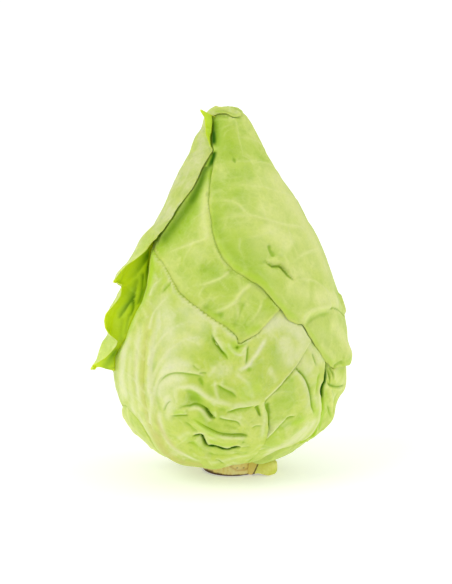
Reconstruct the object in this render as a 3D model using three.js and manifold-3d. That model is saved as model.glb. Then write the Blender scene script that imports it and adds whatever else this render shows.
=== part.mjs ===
// Pointed (sweetheart) cabbage standing on its cut stalk. Millimetres, +Z up, origin at the
// centre of the cut face of the stalk, -Y is the front.
//
// The head is a set of thin leaves wrapped one over another around a tightly packed heart.
// Every leaf is laid on the same skin of the heart: a place on the skin is an angle `th`
// (degrees, 0 at the front, positive towards +X) and a run `s` (mm along the profile from the
// stalk to the tip). A leaf is outlined by its two side margins in (th, s), and it rests on
// whatever leaves lie below it, with a small clearance.
import * as THREE from "three";
import { mergeVertices } from "three/addons/utils/BufferGeometryUtils.js";
import Module from "manifold-3d";

const wasm = await Module();
wasm.setup();

// ---- driving dimensions (mm) ----
const LEAF_T = 0.9; // leaf thickness
const LEAF_GAP = 0.4; // clearance between one leaf and the next
const STALK_R = 17.2; // cut stalk radius
const STALK_H = 11.9; // cut face to the underside of the heart
const N_TH = 40; // facets round the head
// Half profile of the heart: [radius, height]
const PROFILE = [
  [14.0, 12.5], [22, 12.2], [30, 11.8], [37, 13.6], [43, 18.0], [49, 24.5], [54, 31.5], [59, 40],
  [62.8, 49], [65.4, 58.5], [66.4, 68], [66.3, 77], [65.2, 86.5], [63.4, 96], [60.9, 105.5],
  [57.8, 115], [54.2, 125], [50.4, 134.5], [46.0, 144], [41.2, 153.5], [36.2, 162.5],
  [31.3, 170.5], [26.6, 178], [22.4, 185], [19, 191.5], [16.4, 198], [14.2, 204.5], [12, 210],
  [8.6, 214], [4.2, 216.2], [0, 216.6],
];
// Rows of the skin grid, mm from the stalk along the profile
const ROWS = [
  4.2, 12, 21, 30, 39, 49, 60, 72, 84, 96, 108, 121, 134, 147, 160, 173, 186, 198, 209, 219, 228,
  236, 243, 248, 252,
];

// ---- the skin of the heart ----
function catmull(P, n) {
  const ext = [[2 * P[0][0] - P[1][0], 2 * P[0][1] - P[1][1]], ...P, [-P.at(-2)[0], P.at(-2)[1]]];
  const out = [];
  for (let i = 1; i < ext.length - 2; i++) {
    const [p0, p1, p2, p3] = [ext[i - 1], ext[i], ext[i + 1], ext[i + 2]];
    for (let k = 0; k < n; k++) {
      const u = k / n;
      out.push([0, 1].map((c) => 0.5 * (2 * p1[c] + (-p0[c] + p2[c]) * u +
        (2 * p0[c] - 5 * p1[c] + 4 * p2[c] - p3[c]) * u * u +
        (-p0[c] + 3 * p1[c] - 3 * p2[c] + p3[c]) * u ** 3)));
    }
  }
  out.push(P.at(-1));
  return out.map(([r, z]) => [Math.max(r, 0), z]);
}
const CURVE = catmull(PROFILE, 12);
const RUN = [0];
for (let i = 1; i < CURVE.length; i++)
  RUN.push(RUN[i - 1] + Math.hypot(CURVE[i][0] - CURVE[i - 1][0], CURVE[i][1] - CURVE[i - 1][1]));
const S_MAX = RUN.at(-1);
function profile(s) {
  s = Math.min(Math.max(s, 0), S_MAX);
  let i = 1;
  while (i < RUN.length - 1 && RUN[i] < s) i++;
  const u = (s - RUN[i - 1]) / (RUN[i] - RUN[i - 1]);
  return [0, 1].map((c) => CURVE[i - 1][c] * (1 - u) + CURVE[i][c] * u);
}
const smooth = (x, a, b) => {
  const u = Math.min(Math.max((x - a) / (b - a), 0), 1);
  return u * u * (3 - 2 * u);
};
// The head leans a little to the left low down and at the tip, is flattened front to back at
// the tip, and its underside is higher on the right.
function skin(thDeg, s) {
  const th = (thDeg * Math.PI) / 180, [r, z] = profile(s);
  const cx = -1.6 * smooth(z, 12, 30) * (1 - smooth(z, 45, 75)) - 1.8 * smooth(z, 150, 205);
  const ky = 0.97 - 0.22 * smooth(z, 180, 214);
  const up = 3.2 * smooth(Math.sin(th), 0.1, 0.9) * (1 - smooth(z, 16, 50)) * smooth(r, 14, 24);
  return new THREE.Vector3(cx + r * Math.sin(th), -ky * r * Math.cos(th), z + up);
}
function skinNormal(th, s) {
  s = Math.min(Math.max(s, 0.5), S_MAX - 0.5);
  const du = skin(th + 0.1, s).sub(skin(th - 0.1, s)), dv = skin(th, s + 0.3).sub(skin(th, s - 0.3));
  return du.cross(dv).normalize();
}

// ---- the leaves, innermost first: side margins from the stalk to the tip as [th, s] ----
const LEAVES = [
  { name: "left_lower_leaf", color: 0xb9cf6e,
    front: [[-55, 4.5], [-50, 25], [-45, 50], [-42, 85], [-50, 120], [-70, 150]],
    back: [[-125, 4.5], [-140, 30], [-150, 60], [-150, 95], [-130, 130], [-70, 150]] },
  { name: "back_lower_leaf", color: 0xc1d583,
    front: [[95, 4.5], [65, 30], [48, 60], [48, 95], [75, 130], [170, 160]],
    back: [[245, 4.5], [262, 30], [270, 60], [268, 95], [240, 135], [170, 160]] },
  { name: "right_lower_leaf", color: 0xc9dc7c,
    front: [[118, 4.5], [105, 25], [88, 38], [72, 43], [62, 46], [57, 51], [50, 62], [45, 74], [41, 89], [45, 110], [60, 135], [95, 160]],
    back: [[155, 4.5], [160, 30], [165, 70], [160, 110], [140, 145], [95, 160]] },
  { name: "front_lower_leaf", color: 0xc3d880,
    front: [[-25, 4.5], [-30, 40], [-40, 80], [-35, 120], [-10, 150], [20, 160]],
    back: [[25, 4.5], [26, 20], [32, 33], [44, 38.5], [54.5, 41.5], [60, 45.6], [62.4, 51.9], [58, 62], [51.5, 76], [48.8, 86], [46, 96], [42, 111], [37, 125.6], [20, 160]] },
  { name: "front_left_leaf", color: 0xd5dfa5,
    front: [[12, 4.5], [14, 20], [17, 34], [17.8, 36.4], [13.8, 46.4], [7.6, 56.9], [4.7, 65.7], [6.6, 72.6], [11, 76], [15, 78], [23, 86], [31, 94], [37.5, 103], [42, 111], [40, 125], [34, 143], [21.5, 161], [6.6, 180], [-20, 205]],
    back: [[-80, 4.5], [-76, 20], [-64, 35], [-55, 45], [-53, 55.6], [-63, 62.6], [-76, 65], [-89, 63], [-102, 75], [-108, 100], [-106, 135], [-95, 165], [-70, 190], [-20, 205]] },
  { name: "front_upper_leaf", color: 0xbfd56b,
    front: [[95, 4.5], [98, 30], [92, 60], [80, 85], [64, 96], [48, 104], [36, 122], [26, 127], [19, 120.5], [12, 115], [5.5, 110], [0.8, 114.5], [-4, 119], [-10.5, 123.6], [-19, 129], [-27, 135.6], [-38, 145], [-46, 151.6], [-59, 158], [-72, 170], [-80, 190], [-70, 215], [-30, 236]],
    back: [[140, 4.5], [150, 40], [155, 90], [150, 140], [135, 190], [90, 225], [-30, 236]] },
  { name: "right_upper_leaf", color: 0xc6dc76,
    front: [[125, 4.5], [122, 30], [110, 55], [98, 75], [88, 84], [68, 90.6], [56, 90.8], [50, 95.8], [39.6, 111.3], [37, 118], [32, 119], [28.3, 122], [24, 128.6], [17.5, 138.5], [8, 146], [0.3, 150.4], [-7, 160], [-13, 171.7], [-16, 181], [-20.5, 196.8], [-22.3, 211], [-24, 222], [-31, 236], [-44, 243], [-50, 247]],
    back: [[180, 4.5], [190, 40], [200, 90], [205, 140], [210, 190], [225, 230], [240, 247]] },
  { name: "left_upper_leaf", color: 0xcfe07f, cap: 244, lift: true,
    front: [[-105, 4.5], [-103, 30], [-96, 60], [-88, 84], [-71, 100], [-61, 112.5], [-57, 134], [-57.7, 155], [-55.2, 172.5], [-49.7, 186], [-42, 198], [-37, 210], [-33, 218], [-28, 226], [-36, 234], [-48, 240], [-50, 246]],
    back: [[-155, 4.5], [-172, 40], [-188, 90], [-198, 140], [-206, 190], [-215, 225], [-240, 246]] },
];
// The free margin of the left upper leaf is ruffled and stands off the head on the left: points
// of its outer edge, from the corner under the overhanging part down to the lowest lobe.
const RUFFLE = [
  [-58, -38, 123], [-68, -36, 115], [-68, -38, 106], [-74.5, -34, 97], [-75.5, -32, 91],
  [-71, -31, 85], [-72, -26, 78], [-81.5, -20, 65], [-71, -20, 62.5],
];

// Signed distance in mm to a leaf's outline on the unrolled skin, positive inside
function outline(leaf) {
  return [...leaf.front, ...[...leaf.back].reverse()];
}
function insideDistance(poly, th, s, k) {
  let best = 1e9, inside = false;
  for (let i = 0; i < poly.length; i++) {
    const [x0, y0] = poly[i], [x1, y1] = poly[(i + 1) % poly.length];
    if (y0 > s !== y1 > s && th < ((x1 - x0) * (s - y0)) / (y1 - y0) + x0) inside = !inside;
    const ex = (x1 - x0) * k, ey = y1 - y0, px = (th - x0) * k, py = s - y0;
    const u = Math.min(Math.max((px * ex + py * ey) / (ex * ex + ey * ey + 1e-9), 0), 1);
    best = Math.min(best, Math.hypot(px - u * ex, py - u * ey));
  }
  return inside ? best : -best;
}

// ---- the grid of the skin ----
const NR = ROWS.length;
const POLE = N_TH * NR;
const vid = (i, j) => j * N_TH + (((i % N_TH) + N_TH) % N_TH);
const TH = (i) => -180 + (360 * i) / N_TH;
const base = [], dir = [];
for (let j = 0; j < NR; j++)
  for (let i = 0; i < N_TH; i++) {
    base.push(skin(TH(i), ROWS[j]));
    dir.push(skinNormal(TH(i), ROWS[j]));
  }
base.push(skin(0, S_MAX));
dir.push(new THREE.Vector3(0, 0, 1));
const tris = [];
for (let j = 0; j < NR - 1; j++)
  for (let i = 0; i < N_TH; i++) {
    const a = vid(i, j), b = vid(i + 1, j), c = vid(i + 1, j + 1), d = vid(i, j + 1);
    if ((i + j) % 2) tris.push([a, b, c], [a, c, d]);
    else tris.push([a, b, d], [b, c, d]);
  }
for (let i = 0; i < N_TH; i++) tris.push([vid(i, NR - 1), vid(i + 1, NR - 1), POLE]);
const ring = Array.from({ length: POLE + 1 }, () => new Set());
for (const [a, b, c] of tris) {
  ring[a].add(b).add(c);
  ring[b].add(a).add(c);
  ring[c].add(a).add(b);
}

function toGeometry(verts, faces) {
  const g = new THREE.BufferGeometry();
  g.setAttribute("position", new THREE.Float32BufferAttribute(verts.flatMap((v) => [v.x, v.y, v.z]), 3));
  g.setIndex(faces.flat());
  g.computeVertexNormals();
  return g;
}
function toSolid(geometry) {
  const g = geometry.clone();
  g.deleteAttribute("normal");
  g.deleteAttribute("uv");
  const m = mergeVertices(g, 1e-3);
  return new wasm.Manifold(new wasm.Mesh({
    numProp: 3, vertProperties: m.attributes.position.array, triVerts: new Uint32Array(m.index.array),
  }));
}
function fromSolid(solid) {
  const m = solid.getMesh(), n = m.numProp, v = [];
  for (let i = 0; i < m.numVert; i++)
    v.push(m.vertProperties[i * n], m.vertProperties[i * n + 1], m.vertProperties[i * n + 2]);
  const g = new THREE.BufferGeometry();
  g.setAttribute("position", new THREE.Float32BufferAttribute(v, 3));
  g.setIndex([...m.triVerts]);
  g.computeVertexNormals();
  return g;
}

// ---- laying one leaf on the height reached so far ----
const height = new Array(POLE + 1).fill(0);
const at = (v, h) => base[v].clone().addScaledVector(dir[v], h);
const leafGeometry = {}, leafUnder = {};
for (const leaf of LEAVES) {
  const poly = outline(leaf);
  const f = [];
  for (let v = 0; v <= POLE; v++) {
    const i = v % N_TH, j = Math.floor(v / N_TH);
    const s = v === POLE ? S_MAX : ROWS[j];
    const k = (Math.max(profile(s)[0], 4) * Math.PI) / 180;
    let d = -1e9;
    if (v !== POLE) for (const turn of [-360, 0, 360]) d = Math.max(d, insideDistance(poly, TH(i) + turn, s, k));
    if (leaf.cap) d = Math.max(d, s - leaf.cap);
    if (Math.abs(d) < 0.05) d = d < 0 ? -0.05 : 0.05;
    f.push(d);
  }
  // support: every vertex of a facet that the leaf touches
  const support = new Set();
  for (const t of tris) if (t.some((v) => f[v] > 0)) t.forEach((v) => support.add(v));
  const under = height.map((h) => h + LEAF_GAP);
  let low = [...under];
  for (let pass = 0; pass < 3; pass++) {
    low = low.map((h, v) => {
      if (!support.has(v)) return h;
      let sum = h, n = 1;
      for (const w of ring[v]) if (support.has(w)) (sum += low[w]), n++;
      return Math.max(under[v], 0.5 * h + (0.5 * sum) / n);
    });
  }
  if (leaf.lift)
    for (const v of support) {
      if (v === POLE) continue;
      const s = ROWS[Math.floor(v / N_TH)];
      const near = 1 - smooth(f[v], 0, 16);
      const front = TH(v % N_TH) > -130 && TH(v % N_TH) < 0;
      if (front) low[v] += 4.5 * near * smooth(s, 95, 130) * (1 - smooth(s, 226, 240));
    }
  // its tip folds over the top of the head as a small hood, clear of the leaf tips below it
  if (leaf.cap)
    for (const v of support) low[v] += 2.6 * smooth(v === POLE ? S_MAX : ROWS[Math.floor(v / N_TH)], 230, 246);
  leafUnder[leaf.name] = low;
  const verts = [], key = new Map(), faces = [], edgeUse = new Map();
  const pair = (k2, make) => {
    if (!key.has(k2)) {
      key.set(k2, verts.length);
      verts.push(...make());
    }
    return key.get(k2);
  };
  const corner = (v) => pair("v" + v, () => [at(v, low[v]), at(v, low[v] + LEAF_T)]);
  const cut = (a, b) => {
    if (a > b) [a, b] = [b, a];
    const u = Math.min(Math.max(f[a] / (f[a] - f[b]), 0.12), 0.88);
    return pair("e" + a + "_" + b, () => [
      at(a, low[a]).lerp(at(b, low[b]), u), at(a, low[a] + LEAF_T).lerp(at(b, low[b] + LEAF_T), u),
    ]);
  };
  for (const t of tris) {
    const poly3 = [];
    for (let n = 0; n < 3; n++) {
      const a = t[n], b = t[(n + 1) % 3];
      if (f[a] > 0) poly3.push(corner(a));
      if (f[a] > 0 !== f[b] > 0) poly3.push(cut(a, b));
    }
    if (poly3.length < 3) continue;
    for (let n = 1; n < poly3.length - 1; n++) {
      faces.push([poly3[0] + 1, poly3[n] + 1, poly3[n + 1] + 1]);
      faces.push([poly3[0], poly3[n + 1], poly3[n]]);
    }
    for (let n = 0; n < poly3.length; n++) {
      const a = poly3[n], b = poly3[(n + 1) % poly3.length];
      const back = b + "_" + a;
      if (edgeUse.has(back)) edgeUse.delete(back);
      else edgeUse.set(a + "_" + b, [a, b]);
    }
  }
  for (const [a, b] of edgeUse.values()) faces.push([a, b, b + 1], [a, b + 1, a + 1]);
  leafGeometry[leaf.name] = toGeometry(verts, faces);
  for (const v of support) height[v] = Math.max(height[v], low[v] + LEAF_T);
}
// Only the main sheet of each leaf: the outline can leave a crumb at a sharp corner of the grid
function mainBody(solid) {
  return solid.decompose().sort((a, b) => b.volume() - a.volume())[0];
}

// ---- the ruffled margin, joined to the left upper leaf ----
{
  const name = "left_upper_leaf", low = leafUnder[name];
  const place = (th, s) => {
    let j = 0;
    while (j < NR - 2 && ROWS[j + 1] < s) j++;
    const fi = ((th + 180) / 360) * N_TH, i = Math.floor(fi), u = fi - i;
    const w = (s - ROWS[j]) / (ROWS[j + 1] - ROWS[j]);
    const mid = (v) => at(v, low[v] + LEAF_T * 0.62);
    return mid(vid(i, j)).lerp(mid(vid(i + 1, j)), u).lerp(mid(vid(i, j + 1)).lerp(mid(vid(i + 1, j + 1)), u), w);
  };
  const roots = [[-64, 158], [-63, 150], [-62, 141], [-62, 131], [-63, 122], [-66, 114], [-70, 107], [-76, 98], [-86, 91]];
  const verts = [], faces = [];
  roots.forEach(([th, s], n) => {
    const a = place(th, s), b = new THREE.Vector3(...RUFFLE[n]);
    const across = b.clone().sub(a).normalize();
    const along = place(roots[Math.min(n + 1, 8)][0], roots[Math.min(n + 1, 8)][1])
      .sub(place(roots[Math.max(n - 1, 0)][0], roots[Math.max(n - 1, 0)][1])).normalize();
    const thick = across.clone().cross(along).normalize().multiplyScalar(0.55);
    verts.push(a.clone().sub(thick), a.clone().add(thick), b.clone().sub(thick), b.clone().add(thick));
  });
  for (let n = 0; n < roots.length - 1; n++) {
    const p = n * 4, q = p + 4;
    const quad = (a, b, c, d) => faces.push([a, b, c], [a, c, d]);
    quad(p, p + 2, q + 2, q);
    quad(p + 1, q + 1, q + 3, p + 3);
    quad(p, q, q + 1, p + 1);
    quad(p + 2, p + 3, q + 3, q + 2);
  }
  faces.push([0, 1, 3], [0, 3, 2]);
  const e = (roots.length - 1) * 4;
  faces.push([e, e + 3, e + 1], [e, e + 2, e + 3]);
  let strip = toSolid(toGeometry(verts, faces));
  if (strip.volume() < 0) strip = toSolid(toGeometry(verts, faces.map(([a, b, c]) => [a, c, b])));
  const others = LEAVES.filter((l) => l.name !== name).map((l) => mainBody(toSolid(leafGeometry[l.name])));
  let joined = mainBody(toSolid(leafGeometry[name])).add(strip);
  for (const o of others) joined = joined.subtract(o);
  leafGeometry[name] = fromSolid(mainBody(joined));
}

// ---- heart: the packed inner leaves, one solid ----
function heartGeometry() {
  const verts = base.map((p) => p.clone()), faces = tris.map((t) => [...t]);
  verts.push(new THREE.Vector3(0, 0, 12.9));
  for (let i = 0; i < N_TH; i++) faces.push([vid(i + 1, 0), vid(i, 0), verts.length - 1]);
  return toGeometry(verts, faces);
}

// ---- stalk: cut square at the bottom, a little oval, its lower edge bevelled by the knife ----
function stalkGeometry() {
  const n = 24, verts = [], faces = [];
  const levels = [[0.9, 0], [1.0, 1.6], [1.0, 6.0], [0.97, 9.5], [0.78, STALK_H]];
  for (const [k, z] of levels)
    for (let i = 0; i < n; i++) {
      const a = (2 * Math.PI * i) / n;
      const r = STALK_R * k * (1 + 0.03 * Math.cos(2 * a + 0.6) + 0.015 * Math.cos(5 * a));
      verts.push(new THREE.Vector3(r * Math.cos(a), r * Math.sin(a) * 1.02, z));
    }
  const top = verts.length;
  verts.push(new THREE.Vector3(0, 0, STALK_H), new THREE.Vector3(0, 0, 0));
  for (let l = 0; l < levels.length - 1; l++)
    for (let i = 0; i < n; i++) {
      const a = l * n + i, b = l * n + ((i + 1) % n), c = a + n, d = b + n;
      faces.push([a, b, d], [a, d, c]);
    }
  for (let i = 0; i < n; i++) {
    const t = (levels.length - 1) * n;
    faces.push([t + i, t + ((i + 1) % n), top], [(i + 1) % n, i, top + 1]);
  }
  return toGeometry(verts, faces);
}

// ---- stub: what is left of an outer leaf stalk that was cut off, on the front right ----
function stubGeometry() {
  const shape = new THREE.Shape();
  const pts = [[11.5, -15.5], [18, -17.5], [24, -16.5], [27.2, -12.5], [27.6, -7], [25.5, -1.5], [20.5, 1.5], [14.5, 1.5]];
  shape.setFromPoints(pts.map(([x, y]) => new THREE.Vector2(x, y)));
  const g = new THREE.ExtrudeGeometry(shape, { depth: 5.4, bevelEnabled: true, bevelThickness: 1.3, bevelSize: 1.3, bevelOffset: -1.3, bevelSegments: 2, steps: 1 });
  g.translate(0, 0, 1.3);
  const clear = toSolid(stalkGeometry().scale(1.022, 1.022, 1.2).translate(0, 0, -1));
  return fromSolid(mainBody(toSolid(g).subtract(clear)));
}

const group = new THREE.Group();
function add(name, geometry, color, roughness) {
  const mesh = new THREE.Mesh(geometry, new THREE.MeshStandardMaterial({ color, roughness, metalness: 0 }));
  mesh.name = name;
  group.add(mesh);
}
add("cut_stalk", stalkGeometry(), 0xc9b47a, 0.75);
add("cut_leaf_stub", stubGeometry(), 0xc2b964, 0.6);
add("heart", heartGeometry(), 0xcfdd92, 0.5);
for (const leaf of LEAVES) {
  const g = leaf.lift ? leafGeometry[leaf.name] : fromSolid(mainBody(toSolid(leafGeometry[leaf.name])));
  add(leaf.name, g, leaf.color, 0.5);
}
export default group;
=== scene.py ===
import math
import bpy
import numpy as np
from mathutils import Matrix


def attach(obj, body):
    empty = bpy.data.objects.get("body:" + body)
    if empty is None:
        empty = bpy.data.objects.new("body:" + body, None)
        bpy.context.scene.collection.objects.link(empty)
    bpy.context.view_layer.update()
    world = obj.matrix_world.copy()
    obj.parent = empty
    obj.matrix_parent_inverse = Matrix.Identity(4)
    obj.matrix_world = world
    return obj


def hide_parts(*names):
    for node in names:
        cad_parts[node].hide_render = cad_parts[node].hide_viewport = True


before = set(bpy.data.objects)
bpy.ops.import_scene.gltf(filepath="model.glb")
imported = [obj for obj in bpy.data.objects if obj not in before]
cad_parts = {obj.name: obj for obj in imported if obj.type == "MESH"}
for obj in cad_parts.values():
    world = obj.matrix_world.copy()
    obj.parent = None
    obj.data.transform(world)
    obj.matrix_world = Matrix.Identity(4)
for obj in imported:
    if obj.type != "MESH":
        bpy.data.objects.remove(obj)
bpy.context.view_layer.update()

rng = np.random.default_rng(7)

# =====================================================================================
# The skin of the heart, as in the CAD: angle th (degrees, 0 front, + to the right) and run
# s (mm along the profile from the stalk to the tip). Everything below works in mm.
# =====================================================================================
PROFILE = [(14.0, 12.5), (22, 12.2), (30, 11.8), (37, 13.6), (43, 18.0), (49, 24.5), (54, 31.5),
           (59, 40), (62.8, 49), (65.4, 58.5), (66.4, 68), (66.3, 77), (65.2, 86.5), (63.4, 96),
           (60.9, 105.5), (57.8, 115), (54.2, 125), (50.4, 134.5), (46.0, 144), (41.2, 153.5),
           (36.2, 162.5), (31.3, 170.5), (26.6, 178), (22.4, 185), (19, 191.5), (16.4, 198),
           (14.2, 204.5), (12, 210), (8.6, 214), (4.2, 216.2), (0, 216.6)]


def catmull(P, n=12):
    P = np.array(P, float)
    ext = np.vstack([2 * P[0] - P[1], P, 2 * P[-1] - P[-2]])
    out = []
    for i in range(1, len(ext) - 2):
        p0, p1, p2, p3 = ext[i - 1], ext[i], ext[i + 1], ext[i + 2]
        for k in range(n):
            u = k / n
            out.append(0.5 * (2 * p1 + (p2 - p0) * u + (2 * p0 - 5 * p1 + 4 * p2 - p3) * u * u
                              + (3 * p1 - p0 - 3 * p2 + p3) * u ** 3))
    out.append(P[-1])
    return np.array(out)


_ext = np.vstack([np.array(PROFILE), [-PROFILE[-2][0], PROFILE[-2][1]]])
CURVE = catmull(_ext, 12)[:12 * (len(PROFILE) - 1) + 1]
CURVE[:, 0] = np.maximum(CURVE[:, 0], 0)
RUN = np.concatenate([[0], np.cumsum(np.hypot(*np.diff(CURVE, axis=0).T))])
S_MAX = RUN[-1]


def prof(s):
    s = np.clip(s, 0, S_MAX)
    return np.interp(s, RUN, CURVE[:, 0]), np.interp(s, RUN, CURVE[:, 1])


def sm(x, a, b):
    u = np.clip((x - a) / (b - a), 0, 1)
    return u * u * (3 - 2 * u)


def skin(th, s):
    """th in degrees; arrays broadcast."""
    t = np.radians(th)
    r, z = prof(s)
    cx = -1.6 * sm(z, 12, 30) * (1 - sm(z, 45, 75)) - 1.8 * sm(z, 150, 205)
    ky = 0.97 - 0.22 * sm(z, 180, 214)
    up = 3.2 * sm(np.sin(t), 0.1, 0.9) * (1 - sm(z, 16, 50)) * sm(r, 14, 24)
    return np.stack([cx + r * np.sin(t), -ky * r * np.cos(t), z + up + 0 * t], -1)


def skin_normal(th, s):
    s = np.clip(s, 0.5, S_MAX - 0.5)
    du = skin(th + 0.1, s) - skin(th - 0.1, s)
    dv = skin(th, s + 0.3) - skin(th, s - 0.3)
    n = np.cross(du, dv)
    return n / np.maximum(np.linalg.norm(n, axis=-1, keepdims=True), 1e-9)


# Camera: 9 degrees above level. One drawing unit is 0.6 mm at the head's axis.
UNIT, ELEV, LENS = 0.6, math.radians(9.0), 100.0
AX, AY = 231.0, 472.0
DIST = UNIT * 584 / (36 / LENS)
TARGET = np.array([-(AX - 226) * UNIT, 0, (AY - 292) * UNIT / math.cos(ELEV)])
EYE = TARGET + DIST * np.array([0, -math.cos(ELEV), math.sin(ELEV)])
FWD = -np.array([0, -math.cos(ELEV), math.sin(ELEV)])
RIGHT = np.array([1.0, 0, 0])
UPV = np.cross(RIGHT, FWD)


def project(p):
    d = p - EYE
    k = DIST / (d @ FWD) / UNIT
    return np.stack([226 + (d @ RIGHT) * k, 292 - (d @ UPV) * k], -1)


# Front-elevation drawing position -> (th, s): nearest facing point of the skin, then refined.
_tt, _ss = np.meshgrid(np.arange(-108, 108.1, 1.5), np.arange(2, 254.1, 1.5), indexing="ij")
_pp = skin(_tt, _ss) + 4.5 * skin_normal(_tt, _ss)
_face = ((_pp - EYE) * skin_normal(_tt, _ss)).sum(-1) / np.linalg.norm(_pp - EYE, axis=-1) < 0.03
_xy = project(_pp)
_tt, _ss, _xy = _tt[_face], _ss[_face], _xy[_face]


def P(x, y):
    d = (_xy[:, 0] - x) ** 2 + (_xy[:, 1] - y) ** 2
    i = int(np.argmin(d))
    t, s = _tt[i], _ss[i]
    for _ in range(4):
        def at(t, s):
            t, s = np.array([t]), np.array([s])
            return project(skin(t, s) + 4.5 * skin_normal(t, s))[0]
        c = at(t, s)
        jt, js = (at(t + 0.5, s) - c) / 0.5, (at(t, s + 0.5) - c) / 0.5
        J = np.array([[jt[0], js[0]], [jt[1], js[1]]])
        e = np.array([x, y]) - c
        if abs(np.linalg.det(J)) < 0.05 or np.hypot(*e) > 4:
            break
        step = np.clip(np.linalg.solve(J, e), -2.5, 2.5)
        t, s = t + step[0], float(np.clip(s + step[1], 1, 254.5))
    return (float(t), float(s))


def F(*pts):
    """Drawing points, as a flat list of x, y, to [(th, s), ...]."""
    return [P(pts[i], pts[i + 1]) for i in range(0, len(pts), 2)]


# =====================================================================================
# Fields over (th, s)
# =====================================================================================
NC, DS = 1440, 0.3
NR = int(S_MAX / DS) + 1
TH_C = -180 + 0.25 * np.arange(NC)
S_R = DS * np.arange(NR)
RAD = np.maximum(prof(S_R)[0], 2.5)
K_MM = RAD * math.pi / 180  # mm per degree at each row
_kf = np.arange(NC // 2 + 1)


def blur(A, sig):
    sg = sig / np.maximum(RAD, 4.0)
    G = np.fft.rfft(A, axis=1) * np.exp(-0.5 * (_kf[None] * sg[:, None]) ** 2)
    A = np.fft.irfft(G, n=NC, axis=1)
    n = int(4 * sig / DS) + 2
    top = A[1:n + 1][::-1]
    end = A[-n - 1:-1][::-1]
    B = np.concatenate([top, A, end])
    m = len(B)
    f = np.fft.rfftfreq(m)
    G = np.fft.rfft(B, axis=0) * np.exp(-2 * (math.pi * f[:, None] * sig / DS) ** 2)
    return np.fft.irfft(G, n=m, axis=0)[n:n + NR]


def noise(sig, seed, stretch=1.0):
    """Smooth random field, unit variance, features about sig mm."""
    r = np.random.default_rng(seed)
    A = blur(r.standard_normal((NR, NC)), sig)
    if stretch != 1.0:
        f = np.fft.rfftfreq(NR)
        A = np.fft.irfft(np.fft.rfft(A, axis=0) * np.exp(-2 * (math.pi * f[:, None] * sig * stretch / DS) ** 2), n=NR, axis=0)
    A -= A.mean()
    rowsd = np.sqrt(np.convolve((A ** 2).mean(1), np.ones(41) / 41, "same"))
    return A / np.maximum(rowsd[:, None], 1e-9)


def sample(A, th, s):
    c = (np.asarray(th) + 180) / 0.25
    r = np.clip(np.asarray(s) / DS, 0, NR - 1.001)
    c0, r0 = np.floor(c).astype(int), np.floor(r).astype(int)
    u, v = c - c0, r - r0
    c0, c1 = c0 % NC, (c0 + 1) % NC
    return ((A[r0, c0] * (1 - u) + A[r0, c1] * u) * (1 - v)
            + (A[r0 + 1, c0] * (1 - u) + A[r0 + 1, c1] * u) * v)


def dense(pts, n=8, straight=False):
    pts = np.array(pts, float)
    if len(pts) == 2 or straight:
        out = [pts[0]]
        for a, b in zip(pts[:-1], pts[1:]):
            for k in range(1, n + 1):
                out.append(a + (b - a) * k / n)
        return np.array(out)
    return catmull(pts, n)


def window(pts, reach):
    """Rows and unwrapped columns within reach mm of the points."""
    th0, th1 = pts[:, 0].min(), pts[:, 0].max()
    s0, s1 = pts[:, 1].min() - reach, pts[:, 1].max() + reach
    r0, r1 = max(0, int(s0 / DS)), min(NR - 1, int(s1 / DS) + 1)
    k = max(min(K_MM[r0], K_MM[r1]), 0.12)
    span = min(reach / k, 170)
    c0, c1 = int((th0 - span + 180) / 0.25), int((th1 + span + 180) / 0.25) + 1
    if c1 - c0 >= NC:
        c1 = c0 + NC - 1
    return r0, r1, c0, c1


def to_line(pts, reach, chunk=60):
    """Signed distance (mm, + on the left of travel, towards the tip when going right) and
    place 0..1 along a polyline, over a window of the field."""
    d = dense(pts)
    r0, r1, c0, c1 = window(d, reach)
    rows, cols = np.arange(r0, r1 + 1), np.arange(c0, c1 + 1)
    S, T = np.meshgrid(S_R[rows], -180 + 0.25 * cols, indexing="ij")
    k = K_MM[rows][:, None]
    best = np.full(S.shape, 1e9)
    sgn, par = np.ones(S.shape), np.zeros(S.shape)
    m = len(d)
    lens = np.concatenate([[0], np.cumsum(np.hypot((d[1:, 0] - d[:-1, 0]) * np.interp(d[:-1, 1], S_R, K_MM), d[1:, 1] - d[:-1, 1]))])
    L = max(lens[-1], 1e-6)
    for i in range(m - 1):
        ax, ay, bx, by = d[i, 0], d[i, 1], d[i + 1, 0], d[i + 1, 1]
        # only the part of the window near this piece
        ra, rb = np.searchsorted(S_R[rows], [min(ay, by) - reach, max(ay, by) + reach])
        if rb <= ra:
            continue
        kk = k[ra:rb]
        ex, ey = (bx - ax) * kk, by - ay
        px_, py_ = (T[ra:rb] - ax) * kk, S[ra:rb] - ay
        u = np.clip((px_ * ex + py_ * ey) / (ex * ex + ey * ey + 1e-9), 0, 1)
        dx, dy = px_ - u * ex, py_ - u * ey
        q = dx * dx + dy * dy
        sel = q < best[ra:rb]
        best[ra:rb] = np.where(sel, q, best[ra:rb])
        sgn[ra:rb] = np.where(sel, np.sign(ex * py_ - ey * px_ + 1e-12), sgn[ra:rb])
        par[ra:rb] = np.where(sel, (lens[i] + u * (lens[i + 1] - lens[i])) / L, par[ra:rb])
    D = np.sqrt(best)
    return (rows[:, None], (cols % NC)[None]), D * sgn, par, L, D


def taper(t, a=0.15, b=0.15):
    return np.clip(t / max(a, 1e-6), 0, 1) ** 0.8 * np.clip((1 - t) / max(b, 1e-6), 0, 1) ** 0.8


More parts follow.
